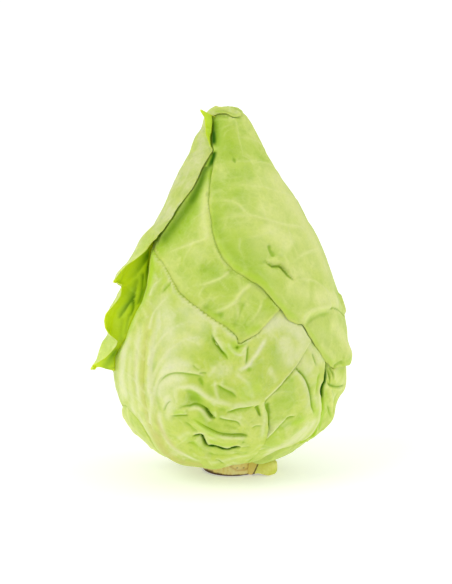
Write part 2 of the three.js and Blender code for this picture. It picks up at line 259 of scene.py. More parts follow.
def ridge(A, pts, amp, w, ends=(0.15, 0.15), w2=None, amp2=None, round_=False):
    """A raised (or sunk) line: crisp along the line like a fold in a sheet, or rounded like a rib."""
    reach = (3.0 if round_ else 4.5) * max(w, w2 or 0)
    idx, d, t, L, D = to_line(pts, reach)
    ww = w if w2 is None else w + (w2 - w) * t
    aa = amp if amp2 is None else amp + (amp2 - amp) * t
    x = D / ww
    shape = np.exp(-x * x) if round_ else np.exp(0.22 - np.sqrt((1.25 * x) ** 2 + 0.0484)) * np.clip((reach - D) / (0.4 * reach), 0, 1)
    A[idx] += aa * shape * taper(t, *ends)


def top(A, pts, amp, w, ends=(0.15, 0.15), w2=None):
    """As ridge, but the field is raised to the stroke, not added to: for masks."""
    reach = 3.0 * max(w, w2 or 0)
    idx, d, t, L, D = to_line(pts, reach)
    ww = w if w2 is None else w + (w2 - w) * t
    A[idx] = np.maximum(A[idx], amp * np.exp(-(D / ww) ** 2) * taper(t, *ends))


def step(A, pts, hi, whi, lo, wlo, ends=(0.2, 0.2), soft=0.35):
    """Crease: on the left of travel the sheet stands hi mm proud, on the right it dips lo mm."""
    reach = 3.5 * max(whi, wlo)
    idx, d, t, L, D = to_line(pts, reach)
    up = hi * np.exp(-np.maximum(d, 0) / whi)
    dn = -lo * np.exp(np.minimum(d, 0) / wlo)
    m = sm(d, -soft, soft)
    edge = np.clip((reach - D) / (0.3 * reach), 0, 1)
    A[idx] += (up * m + dn * (1 - m)) * taper(t, *ends) * edge


def blob(A, th, s, rx, ry, amp):
    A[:] += amp * blob_mask(th, s, rx, ry)


def blob_mask(th, s, rx, ry):
    dt = (TH_C[None] - th + 180) % 360 - 180
    return np.exp(-((dt * K_MM[:, None] / rx) ** 2 + ((S_R[:, None] - s) / ry) ** 2))


def polygon_distance(poly, TH, S, reach=16.0):
    """Signed distance in mm on a grid of columns TH and rows S, + inside."""
    th0 = poly[:, 0].min() - 0.5 * (360 - (poly[:, 0].max() - poly[:, 0].min()))
    order = th0 + (TH - th0) % 360
    k = np.maximum(prof(S)[0], 3.0) * math.pi / 180
    inside = np.zeros((len(S), len(TH)), bool)
    best = np.full((len(S), len(TH)), reach * reach)
    n = len(poly)
    sort = np.argsort(order)
    so = order[sort]
    for i in range(n):
        x0, y0 = poly[i]
        x1, y1 = poly[(i + 1) % n]
        if y0 != y1:
            lo, hi = min(y0, y1), max(y0, y1)
            ra, rb = np.searchsorted(S, [lo, hi])
            for r in range(ra, rb):
                xc = x0 + (x1 - x0) * (S[r] - y0) / (y1 - y0)
                inside[r, order > xc] ^= True
        ra, rb = np.searchsorted(S, [min(y0, y1) - reach, max(y0, y1) + reach])
        if rb <= ra:
            continue
        kk = k[ra:rb]
        span = reach / max(kk.min(), 0.1)
        ca, cb = np.searchsorted(so, [min(x0, x1) - span, max(x0, x1) + span])
        if cb <= ca:
            continue
        cols = sort[ca:cb]
        kk = kk[:, None]
        ex, ey = (x1 - x0) * kk, y1 - y0
        px_, py_ = (order[cols][None] - x0) * kk, (S[ra:rb] - y0)[:, None]
        u = np.clip((px_ * ex + py_ * ey) / (ex * ex + ey * ey + 1e-9), 0, 1)
        q = (px_ - u * ex) ** 2 + (py_ - u * ey) ** 2
        sub = best[ra:rb][:, cols]
        best[ra:rb, cols] = np.minimum(sub, q)
    d = np.sqrt(best)
    return np.where(inside, d, -d)


# =====================================================================================
# Leaf outlines, innermost first: closed loops of (th, s)
# =====================================================================================
def loop(front, back, wob=0.0, seed=0):
    """front and back margins, each from the stalk up; wob mm of ragged edge."""
    a, b = dense(front, 6), dense(back, 6)[::-1]
    poly = np.vstack([a, b])
    keep = np.ones(len(poly), bool)
    keep[1:] = np.abs(np.diff(poly, axis=0)).sum(1) > 1e-6
    poly = poly[keep]
    if wob:
        r = np.random.default_rng(seed)
        k = np.interp(poly[:, 1], S_R, K_MM)
        m = len(poly)
        run = np.cumsum(np.hypot(np.r_[0, np.diff(poly[:, 0]) * k[1:]], np.r_[0, np.diff(poly[:, 1])]))
        n1 = sum(a_ * np.sin(run / l_ * 2 * math.pi + r.uniform(0, 6.28)) for a_, l_ in ((0.5, 31), (0.35, 17), (0.22, 9.3), (0.16, 5.1)))
        tx, ty = np.gradient(poly[:, 0]) * k, np.gradient(poly[:, 1])
        ln = np.maximum(np.hypot(tx, ty), 1e-6)
        fade = sm(poly[:, 1], 8, 30)
        poly = poly + np.stack([-ty / ln * n1 * wob * fade / k, tx / ln * n1 * wob * fade], 1)
    poly[:, 1] = np.clip(poly[:, 1], 1.0, S_MAX - 0.4)
    return poly


LEAVES = {}
LEAVES["left_lower_leaf"] = dict(poly=loop(
    [(-50, 2), (-46, 25), (-42, 50), (-42, 85), (-50, 120), (-70, 150)],
    [(-125, 2), (-140, 30), (-150, 60), (-150, 95), (-130, 130), (-70, 150)], 0.8, 1), pitch=(1.15, 1.3))
LEAVES["back_lower_leaf"] = dict(poly=loop(
    [(95, 2), (65, 30), (48, 60), (48, 95), (75, 130), (170, 160)],
    [(243, 2), (253, 12), (258, 22), (256, 33), (265, 45), (264, 56), (270, 68), (268, 95), (240, 135), (170, 160)], 0.8, 2), pitch=(1.3, 1.5))
LEAVES["right_lower_leaf"] = dict(poly=loop(
    [(120, 2), (113, 20), (103, 33), (93, 43), (84, 44), (80, 40), (72, 37), (62, 36.5), (50, 36), (42, 40), (36, 50), (34, 60), (34, 74), (34, 89), (40, 110), (60, 135), (95, 160)],
    [(155, 2), (160, 30), (165, 70), (160, 110), (140, 145), (95, 160)], 0.9, 3), pitch=(1.1, 1.2))
LEAVES["front_lower_leaf"] = dict(poly=loop(
    [(-25, 2), (-30, 40), (-40, 80), (-35, 120), (-10, 150), (20, 160)],
    [(22, 2), (25, 16), (33, 33), (44, 38.5), (52, 40.8)]
    + F(304, 442.5, 309.5, 437, 314.6, 430, 318.4, 422.5, 320.2, 415, 320.2, 408, 320, 402, 319.8, 396, 319.6, 390.5, 320.6, 385, 322.8, 379.5, 323.4, 371, 324.2, 362) + [(50, 102), (44, 113), (37, 125.6), (20, 160)], 0.5, 4), pitch=(1.2, 1.3))
LEAVES["front_left_leaf"] = dict(poly=loop(
    [(13, 2), (14, 18)] + F(257, 455, 262, 445, 266.5, 433, 267.5, 420, 266.5, 411, 265, 402, 271, 394.5, 280, 385.5, 295, 368, 306, 350,
                            312, 335, 309, 318, 298, 297, 280, 268, 258, 242, 235, 218, 215, 195) + [(-22, 206)],
    [(-80, 2), (-76, 18), (-64, 32), (-55, 42)] + F(147, 433, 140, 421, 131, 412, 124, 405.5) + [(-88, 60), (-97, 72), (-106, 100), (-106, 135), (-95, 165), (-70, 190), (-22, 206)],
    0.5, 5), pitch=(1.25, 1.4))
LEAVES["front_upper_leaf"] = dict(poly=loop(
    [(100, 2), (98, 30), (92, 60), (80, 85)] + F(322, 345, 303, 320, 287, 309, 279.5, 309.5, 271, 319, 265, 325.5, 260, 331, 254, 335.5, 248, 339.5, 243, 342.6, 239, 344, 237.6, 342, 237.6, 338.6,
                                                 234, 332.5, 230, 329.2, 226, 326.6, 220, 323, 214, 319.6, 205, 313.5, 194.8, 306.5, 185, 297, 176, 288, 168, 273, 161, 261, 152, 247) + [(-74, 172), (-84, 190), (-74, 215), (-30, 238)],
    [(140, 2), (150, 40), (155, 90), (150, 140), (135, 190), (90, 225), (-30, 238)], 0.45, 6), pitch=(0.85, 0.95))
LEAVES["right_upper_leaf"] = dict(poly=loop(
    [(125, 2), (122, 25), (110, 54), (100, 74), (94, 84)] + F(349.5, 359, 345, 364.6, 339, 366.5, 333, 368.5, 326, 361, 316.5, 347, 308, 335, 302.5, 324.5, 296, 323.2, 287.5, 319, 278, 307,
                                                             263.7, 290, 255, 282.5, 245.8, 277.5, 233, 270.5, 226, 262, 220, 253, 212.6, 233, 209.8, 217.5, 208.8, 192, 211, 170, 213, 157, 212, 151)
    + [(t - 16, q) for t, q in F(211, 146, 209.5, 139, 209.5, 130, 210.5, 119)] + [(-66, 242), (-70, 247)],
    [(180, 2), (190, 40), (200, 90), (205, 140), (210, 190), (225, 230), (242, 248)], 0.5, 7), pitch=(0.85, 0.95))
FOLD = np.array(F(211.0, 149.5, 209.4, 145.5, 208.8, 142, 208.9, 137, 210.2, 131, 210.8, 122, 211, 116.5))
FOLD_W = np.array([0.4, 1.0, 1.7, 2.7, 4.1, 5.6, 8.6])      # width of the turned-back strip there, mm
_k = np.interp(FOLD[:, 1], RUN, CURVE[:, 0]) * math.pi / 180
B_FRONT = ([(-119, 2), (-122, 14), (-117, 25), (-119.5, 37), (-114, 48), (-115, 57), (-107, 65), (-105, 73), (-97, 77), (-91, 83.5), (-83, 83), (-76, 84.5), (-64, 83), (-54, 81.5), (-50, 85), (-50, 100), (-50, 118), (-50, 136), (-51, 147), (-55, 155)]
           + F(154, 241, 162, 229.5, 170.7, 218.6, 177, 207, 189.7, 189.5, 200, 171.6, 206.5, 159)
           + [(t + w_ / k_, q_) for (t, q_), w_, k_ in zip(FOLD, FOLD_W, _k)]
           + [(FOLD[-1, 0] + 4.2 / 0.19, 243.6), (FOLD[-1, 0] + 0.7 / 0.19, 243.9), (FOLD[-1, 0] + 0.7 / 0.19, 244.6)]
           + F(214.5, 114.3, 218, 113.0, 222, 112.3, 226, 112.5, 229, 113.8, 233, 115.4, 237.3, 115.6, 240.3, 114.2) + [(44, 245.7), (62, 248), (95, 251.5)])
LEAVES["left_upper_leaf"] = dict(poly=loop(
    B_FRONT, [(-155, 2), (-172, 40), (-188, 90), (-198, 140), (-206, 190), (-218, 230), (-242, 249)], 0.35, 8), pitch=(0.85, 0.95))
LEAVES["front_left_leaf"]["fine"] = (-44, 42, 13, 112, 0.45, 0.5)
LEAVES["right_lower_leaf"]["fine"] = (50, 100, 30, 92, 0.5, 0.55)
LEAVES["front_lower_leaf"]["fine"] = (-6, 66, 8, 92, 0.5, 0.62)
ORDER = list(LEAVES)

MASK = {}
for name, leaf in LEAVES.items():
    MASK[name] = polygon_distance(leaf["poly"][::2], TH_C[::3], S_R[::3], 14.0)
    up = np.repeat(np.repeat(MASK[name], 3, 0), 3, 1)[:NR, :NC]
    MASK[name] = blur(np.pad(up, ((0, NR - up.shape[0]), (0, 0)), "edge"), 0.5)

# =====================================================================================
# Creases, veins and tones of each leaf, with painted shade, highlight and glow
# =====================================================================================
Z = lambda: np.zeros((NR, NC))
REL = {n: Z() for n in ORDER}    # relief, mm
VEIN = {n: Z() for n in ORDER}   # 0..1 pale vein line
PALE = {n: Z() for n in ORDER}   # 0..1 whitish tissue, and painted highlight on the lips of creases and on brighter-lit patches
DEEP = {n: Z() for n in ORDER}   # 0..1 greener tissue, and painted green shade in creases and hollows and beside the margins of leaves above
DARK = {n: Z() for n in ORDER}   # 0..1 painted dark shade at the bottom of a tear or a tight crease and in gaps under margins
WARM = {n: Z() for n in ORDER}   # 0..1 straw-coloured rib tissue
BACKLIT_GLOW = {n: Z() for n in ORDER}   # 0..1 painted glow: a thin bright sheet lit from behind


def vein(leaf, pts, w=0.9, amp=0.35, halo=2.6, v=0.8, ends=(0.05, 0.5), w2=None):
    ridge(REL[leaf], pts, amp, w * 1.25, ends, (w2 or w * 0.6) * 1.25, round_=True)
    top(VEIN[leaf], pts, v, w, ends, w2 or w * 0.6)
    top(PALE[leaf], pts, 0.45 * v, halo, ends)


def crease(leaf, pts, depth=1.0, w=0.6, lip=0.5, wlip=3.0, fall=2.4, tone=0.6, dark=0.0, pale=0.3, ends=(0.2, 0.2)):
    """A tight fold: the sheet is proud on the left of travel with a painted highlight, sunk on the right with painted
    green shade, and painted dark shade lies in the fold.
    """
    reach = 3.2 * max(w, wlip, fall)
    idx, d, t, L, D = to_line(pts, reach)
    k = taper(t, *ends) * np.clip((reach - D) / (0.3 * reach), 0, 1)
    up = sm(d, -0.3, 0.4)
    REL[leaf][idx] += k * (lip * np.exp(-np.maximum(d, 0) / wlip) * up - 0.45 * depth * np.exp(-np.maximum(-d, 0) / fall) * (1 - up)
                           - 0.8 * depth * np.exp(-(D / w) ** 2))
    DEEP[leaf][idx] = np.maximum(DEEP[leaf][idx], tone * k * np.where(d < 0, np.exp(-D / fall), np.exp(-(D / 0.5) ** 2)))
    DARK[leaf][idx] = np.maximum(DARK[leaf][idx], dark * k * np.exp(-((d + 0.1) / w) ** 2))
    PALE[leaf][idx] = np.maximum(PALE[leaf][idx], 0.65 * pale * k * up * np.exp(-((d - 1.0) / 1.1) ** 2))


def fill(field, pts, amp, w, ends=(0.0, 0.0), w2=None):
    top(field, pts, amp, w, ends, w2)


A = "front_left_leaf"
MID_A = F(204, 466, 192, 465, 178, 459, 165, 447, 155, 427, 148.5, 404, 146.5, 371, 148, 340, 150.5, 312, 153, 281, 154.5, 263, 156, 250)
ridge(REL[A], MID_A, 1.5, 7.0, (0.12, 0.25), 2.2, 0.9, round_=True)
ridge(REL[A], F(160, 440, 151, 420, 147, 400, 145.5, 372, 147, 345, 149.5, 315), -0.55, 1.3, (0.2, 0.3), 0.9, round_=True)
ridge(REL[A], F(163, 425, 157, 408, 152.5, 392, 151, 370, 152, 345, 154, 315), 0.6, 2.0, (0.2, 0.3), 1.2, round_=True)
ridge(REL[A], F(141, 402, 139, 380, 140, 355, 143, 330), 0.4, 2.2, (0.2, 0.3), 1.2, round_=True)
# straw-coloured strands of the rib, and the pale tissue on either side of them
top(WARM[A], F(158, 440, 150.5, 421, 146.5, 405, 144.3, 388, 144.5, 370, 146, 350, 147.7, 330, 149.3, 315, 150.8, 300), 0.62, 2.8, (0.0, 0.35), 2.0)
top(WARM[A], F(155, 425, 161, 440, 169, 451, 180, 459, 193, 463.5, 202, 464.5), 1.0, 4.2, (0.15, 0.0), 3.2)
top(WARM[A], F(156, 408, 159, 420, 165, 433, 174, 445, 186, 455), 0.75, 2.0, (0.25, 0.3), 1.6)
top(WARM[A], F(137, 398, 135.5, 380, 137, 360, 140, 340), 0.35, 2.2, (0.2, 0.3), 1.4)
for pts, a_, w_, w2_ in ((F(128, 402, 123, 385, 123, 365, 127, 345, 133, 328), 0.85, 5.5, 4), (F(135, 420, 132, 400, 130, 380, 131, 360, 134, 345), 0.55, 4, 3),
                         (F(152, 402, 151.5, 385, 152.5, 365, 154, 345, 157, 325, 161, 300), 0.75, 2.6, 2.2), (F(141, 415, 139, 395, 139.5, 372), 0.4, 2.2, 1.6),
                         (F(160, 408, 161.5, 420, 165, 433, 171, 443, 180, 451, 191, 457.5, 202, 461.5), 0.95, 1.7, 1.5), (F(150, 436, 143, 423, 137, 410), 0.5, 2.6, 2),
                         (F(160, 376, 168, 368, 180, 364, 195, 366), 0.6, 3.4, 2.6), (F(155, 300, 160, 320, 158, 345), 0.35, 5, 4),
                         (F(157, 398, 160, 386, 167, 380, 178, 378, 190, 380), 0.6, 3.0, 2.4), (F(165, 395, 170, 405, 168, 420), 0.4, 3, 2.2)):
    top(PALE[A], pts, a_, w_, (0.1, 0.15), w2_)
top(PALE[A], F(262, 334, 272, 324, 284, 322, 296, 330, 305, 343), 0.85, 5.5, (0.1, 0.1), 5)
top(PALE[A], F(278, 340, 288, 345, 292, 356, 284, 366), 0.55, 6, (0.1, 0.2), 4)
top(PALE[A], F(176, 300, 186, 312, 200, 324, 212, 330), 0.45, 4.5, (0.2, 0.2))
top(PALE[A], F(182, 345, 195, 340, 206, 344), 0.3, 5)
# long veins that leave the midrib low down and sweep up and right
vein(A, F(152, 422, 153.5, 404, 157, 386, 164, 371.5, 178, 368.6, 192, 369.6, 201, 371), 1.3, 0.35, 3.4, 0.7, (0.0, 0.3), 0.9)
vein(A, F(152, 392, 157, 370, 168, 352, 181, 342, 190, 338, 204, 337), 1.1, 0.35, 3.2, 0.65, (0.0, 0.5), 0.6)
vein(A, F(150, 365, 155, 350, 163, 337, 176, 327, 192, 321, 208, 320), 1.0, 0.3, 3.0, 0.6, (0.0, 0.5), 0.6)
vein(A, F(150, 330, 154, 314, 162, 302, 174, 292), 0.9, 0.3, 2.8, 0.6, (0.0, 0.4), 0.5)
vein(A, F(151, 296, 156, 284, 164, 276), 0.8, 0.25, 2.4, 0.5, (0.0, 0.4), 0.5)
for pts in (F(146, 360, 137, 345, 131, 332), F(147, 392, 134, 378, 121, 368), F(148, 318, 141, 306, 136, 296), F(150, 410, 138, 398, 124, 390)):
    vein(A, pts, 0.8, 0.2, 2.6, 0.4, (0.0, 0.5), 0.5)
top(PALE[A], F(131, 330, 126, 345, 123, 362, 123, 382, 127, 398), 0.9, 4.2, (0.2, 0.2))
top(PALE[A], F(141, 322, 138.5, 345, 137.5, 368, 139, 392, 144, 410), 0.85, 3.0, (0.2, 0.2))
top(PALE[A], F(158, 292, 163, 305, 168, 325, 168, 345), 0.55, 5.0, (0.2, 0.2))
top(PALE[A], F(296, 328, 303, 340, 299, 352, 291, 362), 0.8, 4.5, (0.1, 0.2))
# left margin beside the rib: painted glow of light through the flared leaf, and painted green shade along its edge and
# on the sheet near it
top(BACKLIT_GLOW[A], F(152, 248, 152, 262, 150.5, 278, 147, 292, 141, 303, 134, 318, 129, 333, 121, 348, 117, 362), 1.0, 3.4, (0.0, 0.25), 2.4)
top(DEEP[A], F(152.5, 248, 151.8, 262, 150, 278, 146, 292, 140, 303), 0.5, 1.6, (0.0, 0.3), 1.2)
top(DEEP[A], F(163, 318, 168, 305, 176, 297), 0.35, 4)
top(DEEP[A], F(160, 345, 168, 330, 180, 318, 195, 312), 0.35, 4.5)
top(DEEP[A], F(168, 362, 180, 352, 195, 348), 0.3, 4)
# terraces of the buckled lower part, from the top down: folds with painted shade in their hollows and in the slit,
# painted highlight on their lips and painted glow on the thin lips
crease(A, F(156, 394, 159.5, 383, 166, 375.5, 174, 372.4, 182, 372.3, 190, 373.4, 198, 374.8, 206, 377.2), 0.5, 0.5, 0.8, 3.6, 2.0, 0.62, 0.0, 0.6, (0.45, 0.12))
crease(A, F(199.8, 372.9, 203.5, 372.4, 207, 373), 0.5, 0.5, 0.2, 1.2, 0.8, 0.85, 0.25, 0.4, (0.05, 0.2))
top(DEEP[A], F(199, 378, 201.5, 381, 203.5, 387), 0.75, 1.4, (0.1, 0.5))
ridge(REL[A], F(198.5, 377, 201.5, 381, 203, 387), -0.8, 1.3, (0.2, 0.4))
crease(A, F(193.6, 364.6, 195.2, 367, 197.5, 368.5, 200.5, 369.8), 0.4, 0.4, 0.2, 1.0, 0.6, 0.7, 0.0, 0.5, (0.1, 0.2))
ridge(REL[A], F(168, 394, 174, 390, 181, 387.2, 190, 386, 196, 388, 202, 392.5, 208, 396.5, 215, 399.5, 225, 402, 233, 404, 242, 403, 250, 402, 262, 400.5), 1.2, 3.0, (0.35, 0.1), round_=True)
top(PALE[A], F(172, 391, 180, 387.6, 190, 386.2, 196, 388, 202, 392.5, 208, 396.5, 215, 399.5, 224, 401.5, 233, 403.5), 0.62, 1.5, (0.35, 0.3))
top(PALE[A], F(233, 403.7, 242, 403, 250, 401.6, 262, 400), 0.35, 1.5, (0.1, 0.1))
for x_, y_, rx, ry, a_ in ((193.5, 397.5, 4.4, 3.6, -1.5), (199.5, 402, 3.6, 2.2, -0.9), (225, 409, 7, 2.6, -0.5), (178, 401, 3.5, 4.5, 0.5)):
    blob(REL[A], *P(x_, y_), rx, ry, a_)
top(DEEP[A], F(186, 392.5, 191, 391.5, 196, 394, 200.5, 399), 0.85, 2.0, (0.15, 0.25))
top(DEEP[A], F(187, 399, 194, 399.5, 201, 403), 0.75, 2.6, (0.2, 0.25))
crease(A, F(214.6, 419.2, 213, 417.6, 210.5, 416, 208, 413, 206, 410.2, 203, 408, 200, 406.4, 194, 405.4, 190, 406.3, 184, 406.7, 178, 409), 1.0, 0.8, 0.35, 3.2, 2.6, 0.9, 0.4, 0.15, (0.06, 0.35))
crease(A, F(215.5, 420, 213.3, 418.2, 210.6, 416.2, 208, 413, 206, 410.2, 203.5, 408.3, 200.5, 407), 1.1, 1.05, 0.2, 3.0, 2.2, 0.95, 0.7, 0.0, (0.25, 0.35))
top(PALE[A], F(188, 409.4, 195, 408, 200, 409.2, 204, 411.6), 0.35, 0.8)
crease(A, F(164.5, 411, 166, 406, 168.5, 402, 171, 400.8, 173.5, 402.6), 0.5, 0.5, 0.4, 1.6, 1.0, 0.6, 0.0, 0.3, (0.2, 0.3))
crease(A, F(171, 415.2, 177, 414.8, 183, 414.6, 188.2, 414.5), 0.9, 0.55, 0.7, 2.2, 1.4, 0.8, 0.3, 0.2, (0.4, 0.1))
top(DEEP[A], F(184, 413.3, 187, 410.5, 186.5, 408.8), 0.5, 0.5, (0.1, 0.1))
top(BACKLIT_GLOW[A], F(174, 412.6, 181, 411.6, 186, 412), 0.7, 1.2)
top(BACKLIT_GLOW[A], F(191, 417, 198, 421.5, 206, 428, 214, 432.5, 222, 436), 0.75, 1.9, (0.2, 0.25))
top(BACKLIT_GLOW[A], F(205, 437, 212, 441.5, 221, 443.5, 230, 444, 240, 442.5), 0.55, 1.9, (0.2, 0.25))
top(BACKLIT_GLOW[A], F(184, 432, 192, 440, 198, 447, 204, 451), 0.35, 3.2, (0.2, 0.25))
top(DEEP[A], F(197, 414, 205, 419, 214, 424.5, 224, 428), 0.55, 2.3, (0.2, 0.25))
top(DEEP[A], F(184, 421, 189, 424.5, 194, 429, 199, 431.4), 0.6, 1.3, (0.3, 0.2))
ridge(REL[A], F(182, 419, 189, 424.5, 195, 429, 200, 432), -0.7, 1.3, (0.3, 0.2))
crease(A, F(248, 436, 240, 435.4, 233, 435.4, 226, 434.4, 220, 433, 213, 430.2, 206, 426.7, 200, 423.2, 196, 420.3, 192.5, 418), 1.0, 0.55, 1.1, 3.4, 2.4, 0.75, 0.3, 0.2, (0.1, 0.3))
crease(A, F(248, 436, 240, 435.8, 233, 435.8, 226, 434.4), 0.7, 1.0, 0.0, 3.0, 2.0, 0.95, 0.08, 0.0, (0.3, 0.4))
SLIT = F(192, 436.3, 195, 435.1, 198, 434.4, 201.2, 433.9, 202.8, 436, 203.8, 439.4, 204.8, 442.4, 206.3, 444.7, 208.3, 445.5, 212, 444.9, 216, 445.8, 221, 447.2, 226, 448.5, 230, 448.2, 233, 446.9, 237, 446.4, 241, 447)
crease(A, SLIT, 1.5, 0.7, 0.3, 3.6, 2.4, 0.8, 1.0, 0.1, (0.10, 0.06))
top(DARK[A], F(199.4, 433.6, 200.6, 434.2, 202.9, 437.2, 204.8, 441.2, 207.8, 445.2, 211.5, 446, 216.2, 446.4, 220, 447.8, 223.2, 448.8, 228.8, 448.9, 231.8, 447.8, 236, 447.2, 240.5, 447.3), 1.0, 0.95, (0.1, 0.1))
top(DARK[A], F(201, 434, 203, 437, 204.8, 441, 207.6, 444.2, 212, 445), 1.0, 1.05, (0.2, 0.3))
top(DARK[A], F(200.6, 433.8, 202.6, 436, 203.8, 439.4, 204.8, 442.4, 206.3, 444.7, 208.6, 445.4), 1.0, 0.75, (0.08, 0.12))
ridge(REL[A], F(201, 433.9, 202.8, 436, 203.8, 439.4, 204.8, 442.4, 206.3, 444.7, 208.6, 445.4), -1.4, 0.8, (0.08, 0.12))
top(DARK[A], F(229, 448.4, 233, 446.9, 237, 446.4, 241, 447), 0.9, 0.6, (0.2, 0.1))
crease(A, F(241, 447, 245, 446.6, 249.5, 446.2), 0.5, 0.4, 0.3, 1.5, 1.0, 0.5, 0.2, 0.3, (0.1, 0.2))
# small dents, each with painted shade in it
for x_, y_, r_, a_ in ((243, 442, 0.7, 0.7), (193.5, 442.5, 1.5, 0.55), (209, 453.5, 2.4, 0.35), (249, 369, 1.6, 0.7), (237.2, 347.6, 1.1, 1.0), (192, 450, 2.0, 0.3), (246, 453.5, 1.2, 0.4)):
    DEEP[A][:] = np.maximum(DEEP[A], a_ * blob_mask(*P(x_, y_), r_, r_))
    blob(REL[A], *P(x_, y_), r_, r_, -0.9 * a_)
DARK[A][:] = np.maximum(DARK[A], 0.55 * blob_mask(*P(237.2, 347.6), 0.9, 0.9))
crease(A, F(215, 460, 218.5, 460.8, 221, 463.5, 224.5, 466), 0.9, 0.5, 0.4, 2.0, 1.2, 0.8, 0.3, 0.4, (0.15, 0.25))
ridge(REL[A], F(175, 447, 182, 441, 190, 434.5), 0.6, 1.6)
ridge(REL[A], F(188, 441, 193, 444, 199, 446), -0.7, 1.8)
ridge(REL[A], F(191, 450, 200, 455, 212, 457), 0.5, 2.4)
ridge(REL[A], F(206, 452, 215, 455.5, 230, 456, 244, 453), -0.7, 2.2)
top(PALE[A], F(207, 461.5, 216, 463, 228, 461.5, 240, 459, 251, 457), 0.5, 1.8)
top(PALE[A], F(178, 438, 186, 433.5, 192, 432), 0.5, 1.5)
crease(A, F(218.5, 417, 223, 418.6, 230, 420, 236, 421, 238.6, 422.6, 240.2, 425, 241.2, 427.5), 0.8, 0.5, 0.6, 2.6, 1.8, 0.7, 0.12, 0.45, (0.1, 0.25))
crease(A, F(226, 411.8, 231, 410.4, 235, 408.6, 240, 407.2, 250, 405.6, 253.6, 404.4), 0.8, 0.55, 0.7, 2.8, 2.2, 0.75, 0.15, 0.45, (0.2, 0.1))
top(DEEP[A], F(222, 424, 230, 426, 238, 430), 0.45, 2.0)
ridge(REL[A], F(224, 425, 233, 427, 240, 431), -0.5, 1.8)
top(PALE[A], F(226, 414.5, 234, 415.5, 243, 418), 0.4, 1.4)
# the sharp little triangle that dips beside the right margin, with painted shade in it
top(DEEP[A], F(255.5, 405.2, 257.6, 408.5, 259.2, 412.5, 260.2, 416.8), 1.0, 1.25, (0.0, 0.2), 0.4)
top(DARK[A], F(254.4, 405.6, 256.6, 410.5, 259.8, 416.6), 0.35, 0.4, (0.0, 0.1))
ridge(REL[A], F(255.8, 405, 258, 410, 260.2, 416.5), -1.7, 1.2, (0.05, 0.2), 0.5)
top(PALE[A], F(262.5, 401.5, 263.5, 410, 265, 418, 263, 427, 261, 440), 0.5, 1.3, (0.0, 0.2))
top(BACKLIT_GLOW[A], F(222, 357, 231, 349, 239, 342), 0.55, 5)
top(BACKLIT_GLOW[A], F(238, 397, 249, 391, 262, 385), 0.5, 5.5)
top(PALE[A], F(265, 399, 272, 392.6, 281, 384, 290, 374.5, 298, 363.5, 304, 352, 308, 343), 0.95, 0.75, (0.0, 0.0))
crease(A, F(251, 428, 256, 425.6, 262, 425.6), 0.5, 0.5, 0.4, 2.0, 1.4, 0.5, 0.0, 0.3)
ridge(REL[A], F(236, 408, 245, 420, 250, 432, 252, 445), 0.45, 2.6)
# folds round the tip of the leaf above, with painted shadow under that tip and painted highlight and shade on the folds
crease(A, F(211.5, 334, 213.5, 338.5, 216, 342.6, 219, 346.8, 222, 350.8, 226, 355, 229, 360), 1.5, 0.75, 0.9, 3.2, 3.0, 0.95, 0.5, 0.55, (0.25, 0.3))
ridge(REL[A], F(227.5, 342, 229.5, 346.5, 232, 350.3, 236, 353.6, 240, 354.6, 243.6, 351.6, 244.6, 347.2), 1.0, 1.1, (0.15, 0.15))
top(PALE[A], F(227.5, 342, 229.5, 346.5, 232, 350.3, 236, 353.6, 240, 354.6, 243.6, 351.6, 244.6, 347.2), 0.6, 0.9, (0.15, 0.15))
crease(A, F(245.2, 366, 246, 360, 246.5, 354, 246.8, 349.5, 248.5, 345), 0.8, 0.55, 0.6, 1.6, 1.6, 0.7, 0.1, 0.6, (0.3, 0.2))
top(DEEP[A], F(225, 327, 231, 330.5, 236, 334.5, 240, 339), 0.9, 1.6, (0.2, 0.3))
top(DARK[A], F(227, 328, 231.5, 331, 235.5, 334.6), 0.35, 0.8, (0.3, 0.3))
top(DEEP[A], F(238, 347.8, 243, 345, 249, 341.5), 0.85, 0.9, (0.0, 0.4))
crease(A, F(217, 384, 221, 386.8, 226, 389.6, 232, 392.6, 237.5, 397.5), 0.9, 0.8, 0.6, 2.8, 2.8, 0.65, 0.0, 0.25, (0.2, 0.3))
for pts, a_, w_ in ((F(236, 370, 242, 368.4, 247.5, 365.8, 252.3, 359, 257.5, 352, 262.5, 343.5, 267, 336), 0.95, 1.25), (F(235.5, 370, 238, 374.5, 243, 379, 248, 384, 250.5, 391, 253, 399), 0.55, 1.3),
                    (F(215, 379, 215.3, 387, 217, 394, 219.5, 400), 0.55, 0.8), (F(208, 377, 213, 371, 216, 365), 0.55, 1.4), (F(213, 320, 214.5, 328, 215.2, 335), 0.5, 1.4),
                    (F(210, 371, 221, 370.5, 234, 369), 0.35, 3.6), (F(243, 386, 249, 395), 0.35, 1.2), (F(226, 331, 230, 334.5, 236, 340), 0.35, 2.0), (F(268, 366, 273, 376, 277, 382), 0.4, 1.4)):
    top(PALE[A], pts, a_, w_, (0.15, 0.15))
    ridge(REL[A], pts, 0.22 * a_, w_ * 1.5, (0.15, 0.15), round_=True)
top(DEEP[A], F(266, 345, 274, 350, 277, 362, 273, 374), 0.4, 4.0, (0.2, 0.2))
top(DEEP[A], F(205, 322, 206, 332, 209, 344), 0.5, 2.4)
top(DEEP[A], F(205, 350, 212, 360, 216, 366), 0.4, 3.0)
top(DEEP[A], F(254, 362, 258, 372, 262, 384), 0.35, 4.0)
top(DEEP[A], F(208, 382, 210, 390, 212, 397), 0.5, 1.8)
crease(A, F(161, 292.5, 165.5, 287, 170.5, 282.2), 0.7, 0.9, 0.4, 2.4, 1.8, 0.7, 0.15, 0.3, (0.3, 0.05))
top(BACKLIT_GLOW[A], F(156, 262, 160, 276, 170, 288, 182, 300), 0.35, 1.4)
ridge(REL[A], F(213, 400, 216, 410, 215, 418), 0.4, 1.6)

E = "front_lower_leaf"
vein(E, F(262, 398, 280, 392, 300, 392), 0.8, 0.2, 2.5, 0.3)
